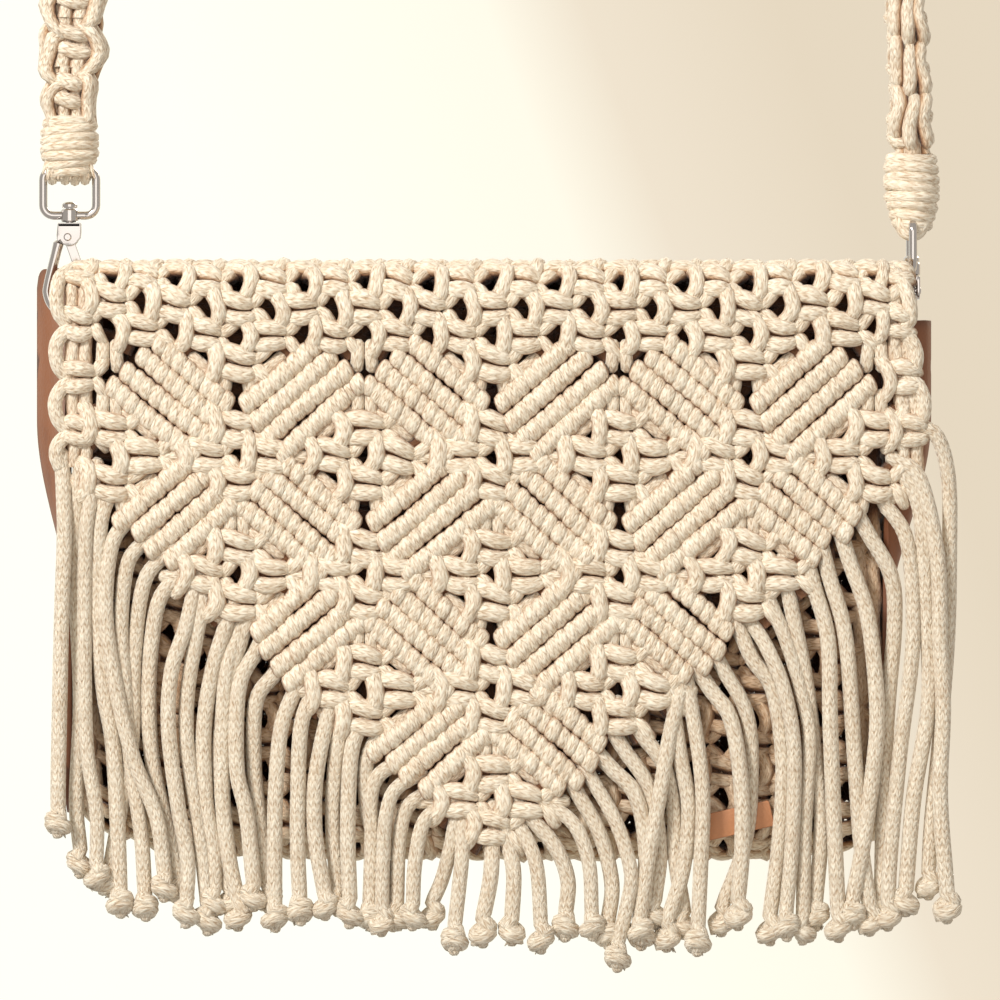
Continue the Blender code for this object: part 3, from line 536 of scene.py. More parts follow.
def wrap_shape(sides=8, steps=9):
    """One turn of a half hitch over its bar, in millimetres: along the bar, across it, out."""
    angle = np.radians(np.linspace(-112, 112, steps))
    swell = 0.84 + 0.16 * np.cos(np.linspace(-1, 1, steps) * 1.25)
    phi = 2 * np.pi * np.arange(sides) / sides
    reach = 2.27 + 1.45 * np.cos(phi)[None] * swell[:, None]
    across = np.sin(angle)[:, None] * reach
    out = 3.9 + np.cos(angle)[:, None] * (reach + 0.30)
    along = 2.75 * np.sin(phi)[None] * swell[:, None] - 0.24 * across
    points = np.stack([along, across, out], -1)
    run = np.arange(steps) * 1.25
    p, f, c, _ = grid_faces(points, run, 16.0)
    # painted shade: each wrap is painted darker on its inner side, towards its neighbours, and down the bar's flanks
    # between bars
    unshaded_shares = np.clip(0.17 + 1.05 * np.cos(phi), 0, 1)[None] * np.clip(1.30 - np.abs(np.sin(angle)) ** 3, 0, 1)[:, None]
    return p / 1000, f, c / 1000, unshaded_shares.reshape(-1)


def bar_list():
    """Every half-hitch bar of the flap: middle, way along it (1 down to the right) and its length."""
    bars = []
    for row in range(4):
        for column in range(max(0, row - 1), min(6, 7 - row)):
            x0, top = lattice_point(column, row)
            x1, low = lattice_point(column + 1, row + 1)
            way = 1 if (column + row) % 2 == 0 else -1
            for k in range(4):
                step = (k - 1.5) * bar_pitch
                length = bar_length * (0.92, 1.0, 1.03, 1.05)[k]
                bars.append(((x0 + x1) / 2 - way * math.sin(bar_slope) * step,
                             (top + low) / 2 + math.cos(bar_slope) * step, way, length))
    return bars


def flap_bars():
    wrap, faces, corners, unshaded_shares = wrap_shape()
    parts = []
    for x, drop, way, length in bar_list():
        count = int(round(length / wrap_pitch))
        lean = bar_slope + chance.normal(0, 0.02)
        c, s = math.cos(lean), math.sin(lean) * way
        bow = chance.normal(0, 0.0004)
        ends = []
        for i in range(count):
            share = (i - (count - 1) / 2) / count
            along = share * length + (0.00012 if i % 2 else -0.00012)
            cx = x + along * c
            cy = drop + along * s + bow * (1 - 4 * share * share)
            if cy > edge_drop(cx) - 0.0015 or abs(cx) > flap_left:
                continue
            ends.append((cx, cy))
            grow = 1 + chance.normal(0, 0.04, 3)
            p = wrap * grow
            a, b = p[:, 0], p[:, 1]
            side, down = a * c + way * b * s, a * s - way * b * c
            parts.append((flap_place(cx + side, cy + down - start_drop, p[:, 2]), faces[:, ::way],
                          corners[:, ::way] + chance.uniform(0, 0.02, 2), unshaded_shares))
        if len(ends) > 1:
            a, b = np.array(ends[0]), np.array(ends[-1])
            line = np.linspace(a, b, 5)
            parts.append(tube(flap_place(line[:, 0], line[:, 1] - start_drop, 0.0036), 0.0024, 6))
    return joined(parts)


# Fringe, charted in steps of 0.32 mm from the chart's corner: how far out a strand lies, then its bends
chart_step = 0.00032
chart_middle = 492
chart_top = 262
STRANDS = (
    (1, (62, 462), (64, 500), (65, 539), (62, 627), (59, 773), (59, 810)),
    (1, (96, 468), (90, 505), (86, 539), (85, 627), (87, 744), (97, 812), (97, 863)),
    (0, (112, 490), (101, 522), (97, 597), (103, 685), (113, 744), (118, 832), (120, 889)),
    (1, (131, 518), (112, 545), (106, 612), (116, 685), (134, 759), (157, 817), (165, 874)),
    (0, (149, 539), (128, 563), (121, 627), (125, 685), (130, 759), (141, 832), (145, 894)),
    (-1, (80, 470), (76, 520), (76, 600), (80, 700), (76, 800), (80, 850)),
    (-1, (165, 555), (144, 583), (134, 656), (132, 740), (122, 800), (110, 868)),
    (-1, (180, 575), (158, 604), (149, 680), (152, 760), (168, 830), (180, 880)),
    (1, (195, 586), (186, 627), (172, 671), (169, 729), (178, 803), (188, 860), (187, 899)),
    (0, (204, 596), (196, 640), (188, 690), (187, 744), (198, 820), (208, 906)),
    (0, (233, 606), (214, 665), (204, 729), (206, 803), (214, 850), (214, 889)),
    (-1, (243, 634), (227, 690), (219, 759), (226, 840), (229, 888)),
    (0, (238, 638), (226, 676), (222, 778), (228, 850), (238, 902)),
    (1, (256, 652), (239, 688), (237, 766), (247, 815), (254, 884)),
    (-1, (275, 674), (256, 702), (254, 766), (258, 810), (268, 884)),
    (1, (299, 682), (282, 725), (276, 790), (275, 850), (275, 903)),
    (1, (313, 692), (301, 728), (298, 802), (298, 850), (300, 896)),
    (1, (334, 694), (322, 742), (315, 790), (316, 840), (325, 893)),
    (-1, (343, 714), (335, 770), (333, 827), (338, 888)),
    (1, (366, 718), (352, 750), (348, 827), (350, 898)),
    (-1, (379, 733), (366, 766), (368, 815), (380, 850), (392, 902)),
    (0, (405, 760), (380, 774), (371, 797), (372, 840), (370, 904)),
    (1, (418, 775), (395, 790), (386, 816), (383, 860), (382, 908)),
    (0, (429, 792), (407, 808), (399, 845), (397, 903)),
    (1, (449, 802), (424, 822), (415, 864), (413, 903)),
    (-1, (456, 818), (450, 850), (442, 880), (432, 903)),
    (1, (464, 812), (463, 840), (461, 870), (455, 925)),
    (1, (493, 834), (492, 860), (490, 883), (483, 918)),
    (1, (506, 834), (512, 860), (514, 880), (512, 918)),
    (1, (518, 824), (531, 848), (538, 874), (541, 924)),
    (0, (531, 818), (556, 848), (568, 880), (566, 913)),
    (1, (545, 803), (574, 824), (589, 862), (592, 913)),
    (0, (579, 796), (600, 834), (612, 883), (608, 922)),
    (1, (594, 783), (617, 824), (631, 872), (627, 905), (618, 943)),
    (0, (612, 769), (636, 796), (646, 850), (642, 920)),
    (-1, (625, 751), (650, 790), (660, 850), (655, 900)),
    (-1, (640, 733), (664, 765), (674, 810), (676, 860), (684, 912)),
    (1, (684, 682), (671, 730), (660, 793), (648, 862), (640, 917)),
    (0, (672, 700), (680, 754), (689, 809), (683, 870), (667, 923)),
    (1, (688, 686), (699, 754), (703, 803), (701, 860), (698, 928)),
    (-1, (726, 674), (746, 711), (752, 762), (746, 840), (722, 908)),
    (1, (711, 690), (731, 720), (741, 783), (742, 850), (738, 900)),
    (0, (742, 636), (753, 660), (773, 691), (783, 762), (779, 844), (770, 916)),
    (1, (754, 626), (768, 650), (784, 690), (794, 750), (792, 840), (786, 912)),
    (0, (772, 606), (788, 645), (801, 690), (810, 740), (805, 824), (803, 916)),
    (-1, (790, 600), (806, 680), (816, 762), (822, 824), (816, 902)),
    (1, (814, 586), (828, 640), (830, 722), (834, 824), (838, 913)),
    (0, (830, 578), (846, 640), (855, 762), (861, 844), (870, 908)),
    (1, (850, 562), (868, 618), (877, 710), (872, 778), (862, 850), (852, 902)),
    (-1, (868, 533), (891, 575), (895, 624), (888, 710), (884, 800), (882, 900)),
    (0, (886, 505), (908, 545), (913, 641), (901, 744), (891, 847), (888, 902)),
    (0, (902, 472), (920, 510), (926, 606), (929, 700), (914, 796), (906, 889)),
    (1, (896, 460), (920, 480), (937, 555), (940, 641), (943, 710), (940, 796), (947, 893)),
    (-1, (916, 426), (937, 436), (949, 479), (950, 555), (948, 641), (940, 740), (932, 820), (929, 873)),
)
strand_radius = 0.00245


def strand_lines():
    """Each strand's line from inside the flap's edge to the top of its knot."""
    lines = []
    for layer, *bends in STRANDS:
        bends = np.array(bends, float)
        x = (bends[:, 0] - chart_middle) * chart_step
        drop = (bends[:, 1] - chart_top) * chart_step
        out = np.full(len(bends), 0.0050 + 0.0023 * layer + chance.normal(0, 0.0003))
        out[0] = 0.0036
        out[1] = 0.4 * out[1] + 0.6 * 0.0048
        inward = np.array((x[0] - x[1], drop[0] - drop[1]))
        inward *= 0.0010 / np.linalg.norm(inward)
        hidden = np.array((x[0], drop[0]))
        for _ in range(14):
            if hidden[1] < edge_drop(hidden[0]) - 0.0065:
                break
            hidden += inward
        x = np.append(hidden[0] + 2 * inward[0], x)
        drop = np.append(hidden[1] + 2 * inward[1], drop)
        out = np.append(0.0030, out)
        lines.append(np.stack([x, front_face - out, fold_z - drop], -1))
    return lines


def ball_line():
    """A pulled-tight overhand knot in metres: in from above, round one and a half leaning turns, out below."""
    t = np.linspace(0, 1, 19)
    angle = np.radians(-70 + 560 * t)
    turn = np.stack([2.15 * np.cos(angle), 2.15 * np.sin(angle), -3.4 - 2.4 * t + 1.25 * np.cos(angle)], -1)
    return np.vstack([[(0.0, 0.0, 0.0), (0.4, -1.0, -1.3)], turn, [(0.2, 0.3, -7.0), (0.0, 0.0, -8.3)]]) / 1000


def fringe_shape():
    parts = []
    knot = ball_line()
    for line in strand_lines():
        turn = chance.uniform(-1.1, 1.1)
        flip = chance.choice((-1, 1))
        size = chance.uniform(0.95, 1.08)
        c, s = math.cos(turn), math.sin(turn)
        ball = np.stack([(knot[:, 0] * c - knot[:, 1] * s) * flip, knot[:, 0] * s + knot[:, 1] * c, knot[:, 2]], -1)
        ball = ball * size
        ball += line[-1] - ball[0]
        path = np.vstack([smooth_line(line, 6)[:-1], ball])
        thick = strand_radius * chance.uniform(0.95, 1.06)
        radius = np.full(len(path), thick)
        radius[-2:] = (0.8 * thick, 0.72 * thick)
        parts.append(tube(path, radius, 9))
        core = ball[0] - (0, 0, 0.0046 * size)
        heart = np.array([core + (0, 0, 0.0020), core, core - (0, 0, 0.0024)])
        parts.append(tube(heart, (0.0024, 0.0031, 0.0025), 8))
        tip = path[-1]
        for _ in range(7):
            lean = np.array((*chance.normal(0, 0.30, 2), -1.0))
            reach = chance.uniform(0.0009, 0.0022)
            start = tip + np.array((*chance.normal(0, 0.0008, 2), 0.0010))
            hair = np.array([start, start + lean * reach * 0.5, start + lean * reach + (0, 0, 0.0002)])
            parts.append(tube(hair, (0.00045, 0.00035, 0.00012), 4, False))
    return joined(parts)


# Pouch
BOTTOM = ((0.0, 0.083), (0.04, 0.045), (0.11, 0.016), (0.22, 0.004), (0.38, 0.0), (0.55, 0.0),
          (0.72, 0.0), (0.86, 0.002), (0.95, 0.012), (1.0, 0.034))


def pouch_place(x, way, out):
    """A place on the pouch: way counts down the front from its top edge, round the bottom and up the back."""
    x, way, out = np.broadcast_arrays(np.asarray(x, float), np.asarray(way, float), np.asarray(out, float))
    share = np.clip((x + body_left) / (body_left + body_right), 0, 1)
    radius = body_corner - 0.003
    deep = body_depth - 0.006
    low = -body_height * (1 - read_table(BOTTOM, share)) + 0.003
    bulge = back_bulge * 4 * share * (1 - share)
    front = front_face + 0.003
    straight = -0.014 - (low + radius)
    arc = radius * np.pi / 2
    flat = deep - 2 * radius
    usual = 2 * (body_height - 0.003 - 0.014 - radius) + np.pi * radius + deep - 2 * radius
    way = way * (2 * straight + 2 * arc + flat) / usual
    a1 = (way - straight) / radius
    a2 = (way - straight - arc - flat) / radius
    up = way - straight - 2 * arc - flat
    back = front + deep
    swell = bulge * np.sin(np.pi * np.clip(up / straight, 0, 1))
    bands = [way < straight, way < straight + arc, way < straight + arc + flat, way < straight + 2 * arc + flat]
    y = np.select(bands, [
        front - out,
        front + radius - (radius + out) * np.cos(a1),
        front + radius + way - straight - arc,
        back - radius + (radius + out) * np.sin(a2)], back + out + swell)
    z = np.select(bands, [
        -0.014 - way,
        low + radius - (radius + out) * np.sin(a1),
        low - out + 0 * way,
        low + radius - (radius + out) * np.cos(a2)], low + radius + up)
    return np.stack([x, y, fold_z + z], -1)


def pouch_knots(first, last):
    """Alternating rows of knots round the pouch, between two shares of the way round."""
    whole = 2 * (body_height - 0.028) + math.pi * 0.011 + 0.012
    lines = int(round(whole / 0.0086))
    across = int(round((body_left + body_right) / knot_pitch))
    pitch = (body_left + body_right - 0.003) / across
    middle = (body_right - body_left) / 2
    spots = []
    for line in range(lines):
        if not first <= line / lines < last:
            continue
        count = across if line % 2 else across - 1
        for k in range(count):
            spots.append((middle + (k - (count - 1) / 2) * pitch, (line + 0.5) * whole / lines))
    return spots


def wall_place(x, way, out):
    """The same, with the knot's thickness centred in the wall."""
    return pouch_place(x, way, (np.asarray(out) - 0.0047) * 0.80)


def in_shadow(shape):
    """The front wall with painted shade: near black under the flap, brown behind the fringe and lighter towards the
    bottom, and a little darker all over past the front.
    """
    points, faces, corners, unshaded_shares = shape
    drop = fold_z - points[:, 2]
    edge = edge_drop(points[:, 0])
    front = points[:, 1] < front_face + 0.006
    under = np.clip((edge + 0.006 - drop) / 0.010, 0, 1)
    # painted shade: these factors stand in for the shadow of the flap and the fringe
    shade = np.where(front, 0.55 + 0.25 * np.clip((drop - 0.150) / 0.040, 0, 1), 0.90)
    return points, faces, corners, unshaded_shares * np.where(front, shade * (1 - under) + 0.05 * under, shade)


def wall_edges(first, last):
    """Cords along the wall's two ends, between two shares of the way round."""
    whole = 2 * (body_height - 0.028) + math.pi * 0.011 + 0.012
    way = np.linspace(first, last, 60) * whole
    parts = []
    for x in (0.0024 - body_left, 0.0068 - body_left, body_right - 0.0068, body_right - 0.0024):
        wave = chance.uniform(0, 6.28)
        line = wall_place(x + 0.0004 * np.sin(way * 360 + wave), way, 0.0040 + 0.0008 * np.cos(way * 360 + wave))
        parts.append(tube(line, 0.0024, 7))
    # on the front, one more cord runs along the top edge under the flap; the painted shade of in_shadow turns it near
    # black, to fill the gap there
    if first == 0.0:
        parts.append(tube(wall_place(np.linspace(0.004 - body_left, body_right - 0.004, 40), -0.0022, 0.0047), 0.0030, 7))
    return joined(parts)


# Strap
STRAP_SIDE = ((1.0, 0.0), (0.975, 0.20), (0.94, 0.42), (0.89, 0.62), (0.79, 0.80), (0.60, 0.925),
              (0.32, 0.985), (0.0, 1.0))
strap_width = 0.0200
strap_thick = 0.0130
HOOKS = {
    "left": {"x": -0.1365, "rise": 0.0157, "turn": 0.0, "wound": 0.0225, "turns": 7},
    "right": {"x": 0.1356, "rise": -0.0016, "turn": math.pi / 2, "wound": 0.0285, "turns": 8},
}
winding_low = 0.0089

# One knot of the strap in millimetres: across the width, along the strap, out. The two faces are alike
STRAP_BARS = (
    ((-5.6, 4.6, 1.6), (-3.8, 4.2, 3.9), (-1.0, 3.2, 4.9), (2.0, 2.3, 4.7), (4.6, 1.6, 2.6)),
    ((-4.8, -0.9, 2.0), (-3.0, -1.9, 4.1), (0.0, -2.9, 4.9), (3.0, -3.4, 4.2), (5.2, -3.3, 1.8)),
)
STRAP_LOOPS = (
    ((3.0, 3.6, 3.6), (5.4, 2.6, 4.4), (6.8, -0.8, 4.1), (7.1, -5.2, 3.4), (6.2, -9.4, 4.0), (3.2, -12.6, 3.6)),
    ((3.0, 6.2, 0.4), (6.4, 4.6, 0.9), (8.0, 0.8, 0.4), (8.1, -4.0, -0.4), (6.6, -8.0, -0.7), (3.0, -10.0, 0.0)),
)
STRAP_FILLER = ((2.3, 8.4, 3.1), (2.2, 0.0, 2.4), (2.3, -8.4, 3.1))


def strap_line():
    line = []
    peak = strap_thick / 2
    for side, order in (("left", 1), ("right", -1)):
        hook = HOOKS[side]
        start = fold_z + hook["rise"] + winding_low + hook["wound"] + seam_gap
        half = [(hook["x"] * share, 0.0, start + (peak - start) * rise) for share, rise in STRAP_SIDE]
        line += half if order == 1 else half[::-1][1:]
    fine = smooth_line(line, 40)
    run = np.concatenate([[0.0], np.cumsum(np.linalg.norm(np.diff(fine, axis=0), axis=1))])
    return fine, run


def strap_shape():
    fine, run = strap_line()
    step = np.gradient(fine, axis=0)
    step /= np.linalg.norm(step, axis=1)[:, None]
    slow = np.arange(len(fine)) / (len(fine) - 1)
    share = np.clip((slow - 0.08) / 0.30, 0, 1)
    turn = np.pi / 2 * share * share * (3 - 2 * share)
    depth = np.array((0.0, 1.0, 0.0))
    side = np.cross(depth, step)
    side /= np.linalg.norm(side, axis=1)[:, None]
    wide = side * np.cos(turn)[:, None] + depth * np.sin(turn)[:, None]
    deep = depth * np.cos(turn)[:, None] - side * np.sin(turn)[:, None]

    def place(a, along, out):
        along = np.clip(along, -0.004, run[-1] + 0.004)
        at = np.clip(along, 0, run[-1])
        def read(v):
            return np.stack([np.interp(at, run, v[:, i]) for i in range(3)], -1)
        past = (along - at)[..., None] * read(step)
        return read(fine) + past + read(wide) * a[..., None] - read(deep) * out[..., None]

    length = run[-1]
    count = int(round(length / 0.0160))
    pitch = length / count
    unit = []
    for face in (1, -1):
        for bar in STRAP_BARS:
            unit.append(cord(np.array(bar) * (face, 1, face), (1.7, 2.5, 2.6, 2.5, 1.7), 2, 8, (0, 0, face)))
        for way in (-1, 1):
            shape = cord(np.array(STRAP_FILLER) * (way, 1, face), (2.4, 2.4), 1, 6, (0, 0, face), False)
            # painted shade: the strap's fillers are painted a little darker
            unit.append(shape[:3] + (shape[3] * 0.85,))
            outer = np.array(STRAP_LOOPS[0]) * (way, 1, face) + (0, 1.5 * way * face, 0)
            unit.append(cord(outer, (2.0, 2.4, 2.5, 2.5, 2.4, 1.9), 2, 7, (0.6 * way, 0, 0.8 * face)))
        rim = np.array(STRAP_LOOPS[1]) * (face, 1, 1)
        unit.append(cord(rim, (2.0, 2.3, 2.4, 2.4, 2.3, 1.9), 2, 7, (face, 0, 0)))
    points, faces, corners, unshaded_shares = joined(unit)
    parts = []
    for k in range(count):
        middle = (k + 0.5) * pitch
        grow = 1 + chance.normal(0, 0.055, 3)
        wave = chance.uniform(0, 6.28, 2)
        p = points / 1000 * grow * (1, pitch / 0.0160, 1)
        across = p[:, 0] + 0.0008 * np.sin(p[:, 1] * 420 + wave[0])
        out = p[:, 2] + 0.0005 * np.sin(p[:, 1] * 360 + wave[1])
        parts.append((place(across, middle + p[:, 1], out), faces, corners / 1000 + chance.uniform(0, 0.02, 2), unshaded_shares))
    many = np.linspace(-0.002, length + 0.002, 150)
    for a, out in ((-0.0044, 0.0), (0.0, 0.0), (0.0044, 0.0)):
        core = tube(place(np.full(150, a), many, np.full(150, out)), 0.0032, 6)
        # painted shade: the hidden core cords are painted darker
        parts.append(core[:3] + (core[3] * 0.62,))
    return joined(parts)


# Windings, rings and hooks
wire = 0.0027
ring_width = 0.0198
ring_height = 0.0176
ring_bend = 0.0034
boss_radius = 0.0028
boss_height = 0.0042
turn_gap = 0.0003
yoke_width = 0.0074
yoke_height = 0.0078
yoke_depth = 0.0052
pin_drop = 0.0070
gate_slope = math.radians(19.5)
gate_length = 0.0188
hook_bar = 0.0032
hook_length = 0.0319
HOOK_PATH = ((-0.113, 0.282), (-0.141, 0.392), (-0.216, 0.705), (-0.219, 0.803), (-0.176, 0.906),
             (-0.091, 0.978), (0.009, 1.0), (0.107, 0.978), (0.182, 0.915), (0.204, 0.846))
WINDING = ((0.0, 0.60, 0.50), (0.10, 0.70, 0.62), (0.30, 0.86, 0.80), (0.50, 1.0, 0.98),
           (0.80, 0.99, 0.98), (1.0, 0.86, 0.86))


def hook_place(side):
    """Turns places in a hook's own plane (sideways, depth, up) into the bag's."""
    hook = HOOKS[side]
    c, s = math.cos(hook["turn"]), math.sin(hook["turn"])
    origin = np.array((hook["x"], 0.0, fold_z + hook["rise"]))
    turn = np.array(((c, s, 0.0), (-s, c, 0.0), (0.0, 0.0, 1.0)))
    return lambda p: np.asarray(p, float) @ turn + origin


def winding_shape(side):
    hook = HOOKS[side]
    place = hook_place(side)
    turns = hook["turns"]
    length = hook["wound"]
    steps = 26
    thick = length / turns * 0.53
    t = np.linspace(0, 1, turns * steps)
    share = 0.14 + 0.84 * t
    wide = np.interp(share, [r[0] for r in WINDING], [r[1] for r in WINDING]) * 0.0091 - thick * 0.75
    deep = np.interp(share, [r[0] for r in WINDING], [r[2] for r in WINDING]) * 0.0088 - thick * 0.75
    angle = 2 * np.pi * turns * t
    wobble = 0.0004 * np.sin(angle * 0.5 + 1.0) + 0.0003 * np.sin(angle * 1.7)
    slant = (0.0002 if side == "left" else 0.0011) * (np.sin(angle) if side == "right" else np.cos(angle))
    line = np.stack([wide * np.cos(angle), deep * np.sin(angle), winding_low + share * length + wobble + slant], -1)
    parts = [tube(place(line), thick * 1.12, 8, girth=0.0112)]
    rings = []
    phi = 2 * np.pi * np.arange(16) / 16
    for s, w, d in WINDING:
        if s < 0.1:
            continue
        core = np.stack([w * 0.0071 * np.cos(phi), d * 0.0068 * np.sin(phi), np.full(16, winding_low + s * length)], -1)
        rings.append(place(core))
    rings = np.array([np.repeat(rings[0].mean(0)[None], 16, 0)] + rings + [np.repeat(rings[-1].mean(0)[None], 16, 0)])
    parts.append(grid_faces(rings, np.linspace(0, length, len(rings)), 0.05))
    bar = ring_height - wire
    thick_loop = side == "right"
    for k in range(3 if thick_loop else 4):
        a = (k - 1) * 0.0045 if thick_loop else (k - 1.5) * 0.0033
        reach = 0.0034 if thick_loop else 0.0031
        loop = [(a * 0.9, -0.0042, bar + 0.011), (a, -reach, bar + 0.004), (a, -reach, bar),
                (a, -0.6 * reach, bar - 0.0029), (a, 0.0, bar - 0.0036), (a, 0.6 * reach, bar - 0.0029),
                (a, reach, bar), (a, reach, bar + 0.004), (a * 0.9, 0.0042, bar + 0.011)]
        loop = np.array(loop) + (chance.normal(0, 0.0003), 0, chance.normal(0, 0.0002))
        parts.append(tube(place(smooth_line(loop, 3)), 0.0022 if thick_loop else 0.0017, 8, girth=0.0112))
    for k in range(0 if thick_loop else 46):
        a = chance.uniform(-0.0066, 0.0066)
        front = -0.0047 + 0.0012 * (a / 0.0066) ** 2
        start = np.array((a, front + chance.normal(0, 0.0004), bar + 0.0040))
        lean = np.array((chance.normal(0, 0.16), chance.normal(0, 0.10), -1.0))
        reach = chance.uniform(0.0052, 0.0076)
        lock = np.array([start, start + lean * reach * 0.5, start + lean * reach])
        parts.append(tube(place(lock), (0.00085, 0.00075, 0.0003), 5, False, girth=0.0032))
    return joined(parts)


def ring_shape(side):
    place = hook_place(side)
    half = (ring_width - wire) / 2
    high = ring_height - wire
    line = []
    for cx, cy, start in ((half, 0.0, -90), (half, high, 0), (-half, high, 90), (-half, 0.0, 180)):
        ix = cx - math.copysign(ring_bend, cx)
        iy = ring_bend if cy == 0.0 else high - ring_bend
        for k in range(9):
            angle = math.radians(start + 11.25 * k)
            line.append((ix + math.cos(angle) * ring_bend, 0.0, iy + math.sin(angle) * ring_bend))
    line.append(line[0])
    line.append(line[1])
    parts = [tube(place(np.array(line)), wire / 2, 16, False)]
    bore = 0.0016
    profile = [(bore, -0.5), (boss_radius - 0.0004, -0.5), (boss_radius, -0.4), (boss_radius, 0.4),
               (boss_radius - 0.0004, 0.5), (bore, 0.5), (bore, -0.5)]
    parts.append(turned([(r, h * boss_height) for r, h in profile], place, 28))
    return joined(parts)


def turned(profile, place, sides=24, tip=None):
    """A turned shape from rows of radius and height, round the hook's own upright."""
    phi = 2 * np.pi * np.arange(sides) / sides
    rings = []
    for radius, height in profile:
        rings.append(np.stack([radius * np.cos(phi), radius * np.sin(phi), np.full(sides, height)], -1))
    points = np.array(rings)
    if tip is not None:
        points = points[..., tip[0]] + tip[1]
    count = len(profile)
    p, f, c, o = grid_faces(points, np.linspace(0, 0.01, count), 0.02)
    return place(p), f, c, o


def slab(outline, depth, middle, place, bevel=0.00035, axis_out=1):
    """A plate with rounded edges from an outline in the hook's plane (sideways, up)."""
    work = bmesh.new()
    corners = [work.verts.new((x, -depth / 2, y)) for x, y in outline]
    face = work.faces.new(corners)
    grown = bmesh.ops.extrude_face_region(work, geom=[face])
    bmesh.ops.translate(work, verts=[v for v in grown["geom"] if isinstance(v, bmesh.types.BMVert)], vec=(0, depth, 0))
    bmesh.ops.recalc_face_normals(work, faces=work.faces)
    sharp = [e for e in work.edges if e.calc_face_angle(0) > 0.6]
    bmesh.ops.bevel(work, geom=sharp, offset=bevel, segments=2, affect="EDGES", profile=0.6)
    for vert in work.verts:
        moved = place((vert.co.x, vert.co.y + middle, vert.co.z))
        vert.co = Vector(moved)
    return work


def arc_line(cx, cy, radius, start, end, count=8):
    return [(cx + radius * math.cos(math.radians(start + (end - start) * k / count)),
             cy + radius * math.sin(math.radians(start + (end - start) * k / count))) for k in range(count + 1)]


def add_to(work, shape):
    """Adds a shape to a bmesh."""
    points, faces = shape[:2]
    verts = [work.verts.new(p) for p in points]
    for face in faces:
        try:
            work.faces.new([verts[i] for i in face])
        except ValueError:
            continue


def finish_metal(name, works, side, nodes, body):
    work = bmesh.new()
    mesh = bpy.data.meshes.new(name)
    for part in works:
        if isinstance(part, tuple):
            add_to(work, part)
        else:
            held = bpy.data.meshes.new("held")
            part.to_mesh(held)
            work.from_mesh(held)
            bpy.data.meshes.remove(held)
            part.free()
    bmesh.ops.remove_doubles(work, verts=work.verts, dist=1e-7)
    bmesh.ops.recalc_face_normals(work, faces=work.faces)
    work.to_mesh(mesh)
    work.free()
    mesh.shade_smooth()
    mesh.set_sharp_from_angle(angle=math.radians(38))
    mesh.materials.append(nickel)
    return add_piece(name, mesh, body, nodes)


def hook_parts(side):
    place = hook_place(side)
    top = boss_height / 2 + turn_gap
    wide = yoke_width / 2
    low = -top - yoke_height
    cheek = 0.00125
    outline = [(-wide, -top), (-wide - 0.0004, -top - 0.004), (-wide - 0.0002, low + 0.0015)]
    outline += arc_line(0.0, low + 0.0032, 0.0030, 200, 340, 10)
    outline += [(wide - 0.0002, low + 0.0030), (wide, -top - 0.003), (wide, -top)]
    works = []
    for way in (-1, 1):
        works.append(slab(outline, cheek, way * (yoke_depth - cheek) / 2, place))
    cap = [(-wide, -top - 0.0014), (wide, -top - 0.0014), (wide, -top), (-wide, -top)]
    works.append(slab(cap, yoke_depth, 0.0, place, 0.0003))
    post = [(0.0001, -top - 0.001), (0.0013, -top - 0.001), (0.0013, top), (0.0024, top), (0.0025, top + 0.0003),
            (0.0025, top + 0.0012), (0.0021, top + 0.0017), (0.0012, top + 0.0020), (0.0001, top + 0.0020)]
    works.append(turned(post, place, 24))
    path = [(a * hook_length, 0.0, -b * hook_length) for a, b in HOOK_PATH]
    nose = np.array((-0.0005 + math.sin(gate_slope) * (gate_length + 0.0004), 0.0,
                     -pin_drop - math.cos(gate_slope) * (gate_length + 0.0004)))
    line = smooth_line(path + [tuple(nose)], 6)
    size = np.interp(np.linspace(0, 1, len(line)), (0, 0.1, 0.8, 1.0), (0.00175, 0.0016, 0.0016, 0.00145))
    works.append(tube(place(line), size, 16, flat=1.0))
    reach = yoke_depth / 2 + 0.0004
    rivet = [(0.0001, -reach), (0.0009, -reach), (0.0013, -yoke_depth / 2), (0.0010, -yoke_depth / 2 + 0.0003),
             (0.0010, yoke_depth / 2 - 0.0003), (0.0013, yoke_depth / 2), (0.0009, reach), (0.0001, reach)]
    works.append(turned(rivet, place, 18, ([0, 2, 1], np.array((-0.0005, 0.0, -pin_drop)))))
    return works


def gate_parts(side):
    place = hook_place(side)
    way = np.array((math.sin(gate_slope), -math.cos(gate_slope)))
    across = np.array((-way[1], way[0]))
    pin = np.array((-0.0005, -pin_drop))
    outline = []
    for k in range(11):
        angle = math.radians(52 + 256 * k / 10)
        outline.append(tuple(pin + (way * math.cos(angle) + across * math.sin(angle)) * 0.0019))
    for sx in (-1, 1):
        outline.append(tuple(pin + way * (gate_length - (0.0 if sx < 0 else 0.0006)) + across * sx * 0.0015))
    return [slab(outline, 0.0020, 0.0, place, 0.0003)]


# Leather
PLEATS = {
    "left": ((0.0, 0.0), (0.125, 0.02), (0.24, 0.035), (0.345, 0.050), (0.435, 0.060), (0.55, 0.075),
             (0.725, 0.145), (0.87, 0.23), (1.0, 0.29)),
    "right": ((0.0, 0.0), (0.125, 0.26), (0.24, 0.335), (0.375, 0.335), (0.460, 0.12), (0.55, 0.10),
              (0.725, 0.07), (0.87, 0.03), (1.0, 0.0)),
}
leather = 0.0022
gusset_corner = 0.0060


